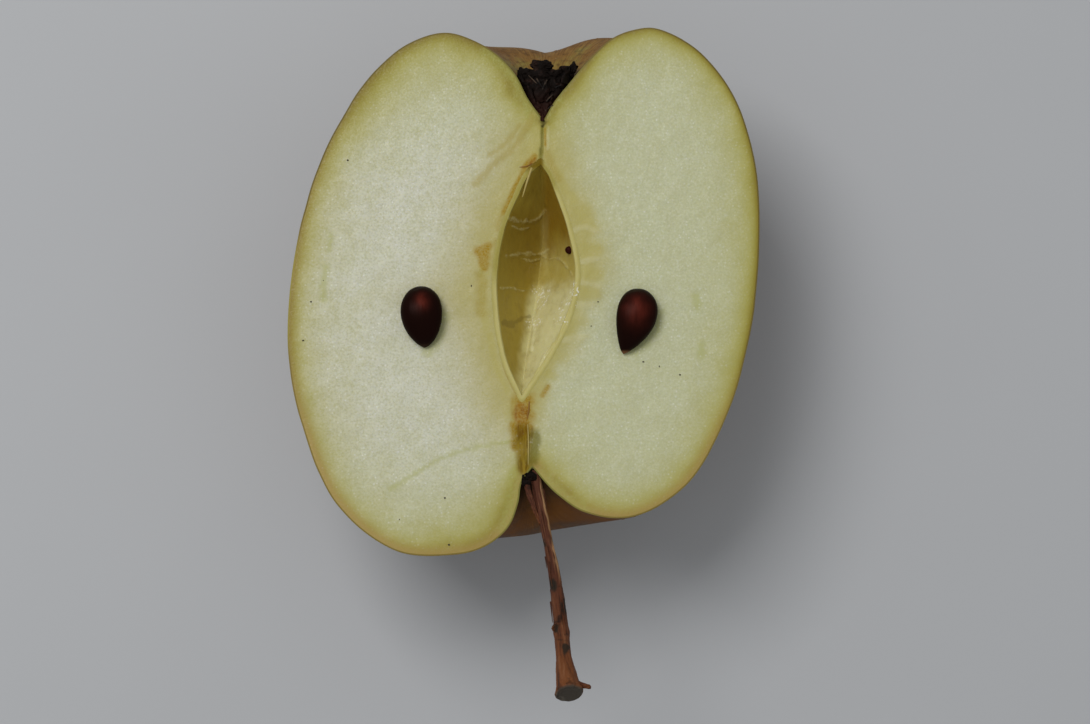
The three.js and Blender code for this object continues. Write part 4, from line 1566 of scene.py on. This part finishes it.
class APPLE_OT_stalk(bpy.types.Operator):
    """Builds the stalk with its bark, spur and frayed fibres"""

    bl_idname = "apple.stalk"
    bl_label = "Stalk"

    def execute(self, context):
        props = context.scene.apple_stalk
        bark = stalk_material(props)
        mesh = rod_mesh("stalk", stalk_strands(), bark, props.sides, props.relief, 1.9)
        finish_stalk(mesh)
        place_piece("stalk_bark", mesh, [bark], ["stem"])
        fibres = rod_mesh("stalk_fibres", stalk_fibres(), bark, 6)
        place_piece("stalk_fibres", fibres, [bark], ())
        # Near-black lumps at the foot: partly dried tissue, partly painted shade of the hollow there.
        foot = joined("stalk_foot", [lump_mesh(*facts) for facts in FOOT_LUMPS])
        paint(foot, warm=0)
        place_piece("stalk_foot", foot, [calyx_material(context.scene.apple_calyx)], ())
        return {"FINISHED"}


# The calyx ----------------------------------------------------------------------------------


def calyx_frame(up, turn, radius, proud=0.0):
    """A point round the calyx's axis at a height above its tip."""
    across = CALYX_TIP[0] + CALYX_LEAN * up + radius * np.cos(turn)
    above = FACE + proud - radius * np.sin(turn)
    return np.stack(np.broadcast_arrays(across, CALYX_TIP[1] + up, above), axis=-1) + SHIFT


def calyx_cup():
    """The shrivelled cup, cut open: a half cone that is sunk in at its face and mouth."""
    rows = []
    turn = np.linspace(0, math.pi, 54)
    across = np.linspace(-1, 1, 30)[1:-1]
    for up in np.linspace(0.04, 1, 70):
        radius = mix(CALYX_TIP_RADIUS, CALYX_MOUTH_RADIUS, up ** CALYX_FLARE)
        back = calyx_frame(CALYX_LENGTH * up, turn, np.full(54, radius), CALYX_PROUD)
        face = np.zeros((28, 3))
        face[:, 0] = CALYX_TIP[0] + CALYX_LEAN * CALYX_LENGTH * up + radius * across
        face[:, 1] = CALYX_TIP[1] + CALYX_LENGTH * up
        face[:, 2] = FACE + CALYX_PROUD - 0.14 * radius * (1 - across ** 2) ** 0.6 * ease(up, 0.1, 0.7)
        rows.append(np.vstack([back, face + SHIFT]))
    tip = calyx_frame(0.0, 0.0, 0.0)
    mouth = calyx_frame(CALYX_LENGTH - 0.3, 0.5 * math.pi, 1.5)
    mesh = tube_loop(np.array(rows), [tip, mouth]).mesh("calyx_cup")
    crumple(mesh, [[1.2, 0.6, 51], [0.5, 0.45, 52], [0.24, 0.2, 53]])
    return mesh


def sepal(turn, length, width, curl, twist, seed):
    """One dried leaf: a pointed strip that leaves the cup's mouth and curls over."""
    steps, across = 46, 22
    share = np.linspace(0, 1, steps)[:, None]
    side = np.linspace(-1, 1, across)[None, :]
    bend = curl * share ** 1.3
    up = CALYX_LENGTH - 1.3 + length * np.cumsum(np.cos(bend), axis=0) / steps
    out = CALYX_MOUTH_RADIUS - 0.9 + length * np.cumsum(np.sin(bend), axis=0) / steps
    half = width / 2 * (1 - share ** 1.6) ** 0.8 + 0.05
    cup = 0.55 * (side ** 2) * half * 1.6
    spin = turn + twist * share
    layers = []
    for lift in (0.16, -0.16):
        radius = out + lift * np.cos(bend) - cup * np.cos(bend) * 0.8
        height = CALYX_TIP[1] + up - lift * np.sin(bend) + cup * np.sin(bend)
        sideways = side * half
        x = CALYX_TIP[0] + CALYX_LEAN * up + radius * np.cos(spin) + sideways * np.sin(spin)
        z = FACE + 0.1 - radius * np.sin(spin) + sideways * np.cos(spin)
        layers.append(np.stack([x, height + 0 * side, z], axis=-1) + SHIFT)
    shell = Shell()
    top, under = shell.add(layers[0]), shell.add(layers[1])
    shell.sheet(top)
    shell.sheet(under)
    loops = [
        np.concatenate([n[0, :], n[1:, -1], n[-1, -2::-1], n[-2:0:-1, 0]]) for n in (top, under)
    ]
    shell.ring(loops[0], loops[1])
    mesh = shell.mesh("sepal")
    crumple(mesh, [[1.2, 0.5, seed], [0.5, 0.28, seed + 1]])
    return mesh


def joined(name, meshes):
    """Several meshes as one."""
    work = bmesh.new()
    for mesh in meshes:
        work.from_mesh(mesh)
        bpy.data.meshes.remove(mesh)
    whole = bpy.data.meshes.new(name)
    work.to_mesh(whole)
    work.free()
    whole.shade_smooth()
    return whole


def lump_mesh(middle, radii, tilt, seed):
    """A crumpled, roughly egg-shaped bit of dried leaf. The tilt turns it in plan."""
    rows, ends = egg(radii, 44, 60)
    turned = np.array([[math.cos(tilt), math.sin(tilt), 0], [-math.sin(tilt), math.cos(tilt), 0], [0, 0, 1]])
    place = on_face(middle)
    mesh = tube_loop(rows @ turned + place, ends @ turned + place).mesh("lump")
    crumple(mesh, [[0.9, 0.55, seed], [0.4, 0.35, seed + 1], [0.2, 0.12, seed + 2]])
    return mesh


def stamen_strands(count):
    """Dried threads inside the cup, each bent its own way."""
    rng = np.random.default_rng(5)
    strands = []
    for _ in range(count):
        up = rng.uniform(1.6, 5.4)
        radius = mix(CALYX_TIP_RADIUS, CALYX_MOUTH_RADIUS, (up / CALYX_LENGTH) ** CALYX_FLARE)
        turn = rng.uniform(0.15, math.pi - 0.15)
        start = calyx_frame(up, turn, radius * rng.uniform(0.1, 0.75))
        aim = np.array([rng.uniform(-0.7, 0.7), rng.uniform(0.4, 1.0), rng.uniform(-0.1, 0.75)])
        bend = rng.uniform(-0.7, 0.7, 3)
        reach = np.linspace(0, rng.uniform(1.2, 2.6), 9)[:, None]
        line = start + aim * reach + bend * reach ** 2 * 0.3
        line[:, 2] = np.minimum(line[:, 2], FACE + 0.35)
        strands.append((line, np.linspace(0.12, 0.06, 9) * rng.uniform(0.7, 1.3)))
    return strands


class APPLE_OT_calyx(bpy.types.Operator):
    """Builds the dried calyx: cup, leaves and stamens"""

    bl_idname = "apple.calyx"
    bl_label = "Calyx"

    def execute(self, context):
        props = context.scene.apple_calyx
        leaf = calyx_material(props)
        leaves = [sepal(*facts) for facts in SEPALS] + [lump_mesh(*facts) for facts in CALYX_LUMPS]
        for name, mesh in (("calyx_cup", calyx_cup()), ("calyx_leaves", joined("calyx_leaves", leaves))):
            paint(mesh, warm=1 - ease(places(mesh)[:, 1], 22.0, 27.0))
            place_piece(name, mesh, [leaf], ["calyx"])
        threads = hair_material(props)
        hairs = rod_mesh("calyx_stamens", stamen_strands(props.hairs), threads, 6)
        place_piece("calyx_stamens", hairs, [threads], ())
        return {"FINISHED"}


# The pips -----------------------------------------------------------------------------------


def pip_mesh(name, facts):
    """One pip: blunt at the top, pointed below, flatter underneath."""
    length, width, depth, taper, sway = (facts[key] for key in ("length", "width", "depth", "taper", "sway"))
    share = np.linspace(0, 1, 121)[1:-1, None]
    down = (1 - np.cos(math.pi * share)) / 2
    turn = np.linspace(0, 2 * math.pi, 96, endpoint=False)[None, :]
    widest = PIP_BLUNTNESS / (PIP_BLUNTNESS + taper)
    girth = (down / widest) ** PIP_BLUNTNESS * ((1 - down) / (1 - widest)) ** taper
    half_depth = girth * depth / 2
    across = sway * down ** 3 + girth * width / 2 * np.cos(turn)
    above = mix(depth / 2, half_depth, 0.75) + half_depth * np.sin(turn)
    middle = mix(depth / 2, 0.0, 0.75)
    rows = np.stack([across, length * (0.5 - down) + 0 * turn, above], axis=-1)
    mesh = tube_loop(rows, [[0, length / 2, middle], [sway, -length / 2, middle]]).mesh(name)
    at = places(mesh)
    x, y, wide, high = facts["window"]
    swell = np.exp(-((at[:, 0] - x) / wide) ** 2 - ((at[:, 1] - y) / high) ** 2 + 0.5 * lumps(at, 0.9, 73))
    tip = facts["tip"] * ease(-at[:, 1], length / 2 - 0.6, length / 2 - 0.15)
    # The redder patch is kept to the pip's top: partly the coat's own colour, partly painted highlight.
    paint(mesh, swell=np.clip(0.85 * swell, 0, 0.9) * ease(at[:, 2], 1.4, 2.4), tip=tip)
    dent = 0.05 * (lumps(at, 1.6, 71) - 1) / 2 + 0.03 * (lumps(at * [1, 0.25, 1], 0.35, 72) - 1) / 2
    shift(mesh, normals(mesh) * dent[:, None] + on_face([*facts["at"], PIP_GAP]))
    return mesh


def pip_end_mesh():
    """The end of a pip that shows through the chamber's wall."""
    rows, ends = egg(PIP_TIP_SIZE, 34, 36)
    middle = on_face(PIP_TIP_AT)
    mesh = tube_loop(rows + middle, ends + middle).mesh("pip_end")
    crumple(mesh, [[0.6, 0.12, 81]])
    paint(mesh, swell=0.25, tip=0)
    return mesh


class APPLE_OT_pips(bpy.types.Operator):
    """Builds the two loose pips and the pip end in the chamber"""

    bl_idname = "apple.pips"
    bl_label = "Pips"

    def execute(self, context):
        coat = seed_material(context.scene.apple_seeds)
        for name, facts in PIPS.items():
            place_piece(name + "_coat", pip_mesh(name, facts), [coat], [name])
        place_piece("pip_end", pip_end_mesh(), [coat], ["seed_tip"])
        return {"FINISHED"}


# Small marks --------------------------------------------------------------------------------


def speck_tree():
    """Puts a small uneven speck at each point."""
    tree, given = new_tree("Specks", Radius=0.00014, Seed=4, Finish=None)
    points = node(tree, "GeometryNodeMeshToPoints", {"Mesh": given["Geometry"]})
    ball = node(tree, "GeometryNodeMeshIcoSphere", {"Radius": given["Radius"], "Subdivisions": 2})
    lumpy = node(tree, "ShaderNodeTexNoise", {"Scale": 6000.0, "Detail": 1.0})
    push = node(tree, "ShaderNodeMapRange", {"Value": lumpy, "To Min": -0.00008, "To Max": 0.00004})
    sizes = {0: (0.5, 0.5, 0.25), 1: (1.5, 1.1, 0.5), "Seed": given["Seed"]}
    sizes = node(tree, "FunctionNodeRandomValue", sizes, data_type="FLOAT_VECTOR")
    specks = {"Points": points, "Instance": pushed(tree, ball, push), "Scale": sizes}
    specks = node(tree, "GeometryNodeInstanceOnPoints", specks)
    return finish_tree(tree, specks, given["Finish"])


def core_fibres(table):
    """The strands of a table of fibres, above the cut face by their third number."""
    strands = []
    for widths, points in table:
        line = even_steps(np.array(points) + [0, 0, FACE + 0.06], 14)
        strands.append((line, profile(15, np.linspace(0, 1, len(widths)), widths)))
    return strands


class APPLE_OT_marks(bpy.types.Operator):
    """Builds the fibres by the core and the dark specks on the cut face"""

    bl_idname = "apple.marks"
    bl_label = "Fibres and specks"

    def execute(self, context):
        straw = fibre_material("core fibre, torn", "#CDBB74", "#A8914A")
        tan = fibre_material("core fibre, browned", "#A07428", "#7A5018")
        groups = (("pale_fibres", PALE_FIBRES, straw), ("brown_fibres", BROWN_FIBRES, tan))
        for name, table, finish in groups:
            fibres = rod_mesh(name, core_fibres(table), finish, 12)
            place_piece(name, fibres, [finish], ())
        dots = bpy.data.meshes.new("speck_points")
        dots.from_pydata([[x * MM, y * MM, (FACE + 0.02) * MM] for x, y in SPECKS], [], [])
        dust = speck_material()
        place_piece("face_specks", grown("face_specks", dots, speck_tree(), {"Finish": dust}), [dust])
        return {"FINISHED"}


# Stage ---------------------------------------------------------------------------------------


def soft_light(name, position, target, width, power):
    """A square light of that width in metres, aimed at the target."""
    data = bpy.data.lights.new(name, "AREA")
    data.shape = "SQUARE"
    data.size = width
    data.energy = power
    lamp = bpy.data.objects.new(name, data)
    bpy.context.scene.collection.objects.link(lamp)
    lamp.location = position
    lamp.rotation_euler = (Vector(target) - Vector(position)).to_track_quat("-Z", "Y").to_euler()
    return lamp


class APPLE_OT_stage(bpy.types.Operator):
    """Sets up the floor, the soft light and the camera"""

    bl_idname = "apple.stage"
    bl_label = "Stage"

    def execute(self, context):
        scene = context.scene
        props = scene.apple_stage
        floor = bpy.data.meshes.new("floor")
        floor.from_pydata(FLOOR_CORNERS, [], [(0, 1, 2, 3)])
        floor.materials.append(floor_material(props))
        floor_object = bpy.data.objects.new("floor", floor)
        scene.collection.objects.link(floor_object)
        target = Vector((*VIEW_AT, FACE)) * MM
        key = soft_light("key_light", KEY_AT, target, KEY_WIDTH, props.key_power)
        camera = bpy.data.objects.new("camera", bpy.data.cameras.new("camera"))
        scene.collection.objects.link(camera)
        camera.data.lens = props.lens
        camera.data.sensor_width = 36
        camera.data.clip_start = 0.01
        reach = Vector((0, -math.cos(props.elevation), math.sin(props.elevation))) * props.distance
        camera.location = target + reach
        camera.rotation_euler = (-reach).to_track_quat("-Z", "Y").to_euler()
        scene.camera = camera
        scene.world = bpy.data.worlds.new("studio")
        scene.world.use_nodes = True
        sky = scene.world.node_tree.nodes["Background"]
        sky.inputs["Color"].default_value = SKY
        sky.inputs["Strength"].default_value = SKY_POWER
        scene.view_settings.view_transform = "Standard"
        return {"FINISHED"}


# Panel and registration ----------------------------------------------------------------------

OPERATORS = (
    APPLE_OT_fruit, APPLE_OT_pores, APPLE_OT_chamber, APPLE_OT_calyx, APPLE_OT_stalk,
    APPLE_OT_pips, APPLE_OT_marks, APPLE_OT_stage,
)
SETTINGS = {
    "apple_flesh": AppleFleshSettings,
    "apple_skin": AppleSkinSettings,
    "apple_core": AppleCoreSettings,
    "apple_calyx": AppleCalyxSettings,
    "apple_stalk": AppleStalkSettings,
    "apple_seeds": AppleSeedSettings,
    "apple_stage": AppleStageSettings,
}


class APPLE_PT_panel(bpy.types.Panel):
    """Lists the pieces of the apple half and their settings"""

    bl_idname = "APPLE_PT_panel"
    bl_label = "Apple Half"
    bl_space_type = "VIEW_3D"
    bl_region_type = "UI"
    bl_category = "Apple Half"

    def draw(self, context):
        layout = self.layout
        for operator in OPERATORS:
            layout.operator(operator.bl_idname, text=operator.bl_label)
        for name, group in SETTINGS.items():
            box = layout.box()
            box.label(text=group.__doc__)
            for field in group.__annotations__:
                box.prop(getattr(context.scene, name), field)


def register():
    """Registers the settings, operators and panel."""
    for name, group in SETTINGS.items():
        bpy.utils.register_class(group)
        setattr(bpy.types.Scene, name, PointerProperty(type=group))
    for cls in (*OPERATORS, APPLE_PT_panel):
        bpy.utils.register_class(cls)


def unregister():
    """Takes the settings, operators and panel out again."""
    for cls in (APPLE_PT_panel, *reversed(OPERATORS)):
        bpy.utils.unregister_class(cls)
    for name, group in reversed(SETTINGS.items()):
        delattr(bpy.types.Scene, name)
        bpy.utils.unregister_class(group)


def main():
    """Builds every piece and sets the stage."""
    register()
    bpy.ops.apple.fruit()
    bpy.ops.apple.pores()
    bpy.ops.apple.chamber()
    bpy.ops.apple.calyx()
    bpy.ops.apple.stalk()
    bpy.ops.apple.pips()
    bpy.ops.apple.marks()
    bpy.ops.apple.stage()


if __name__ == "__main__":
    main()
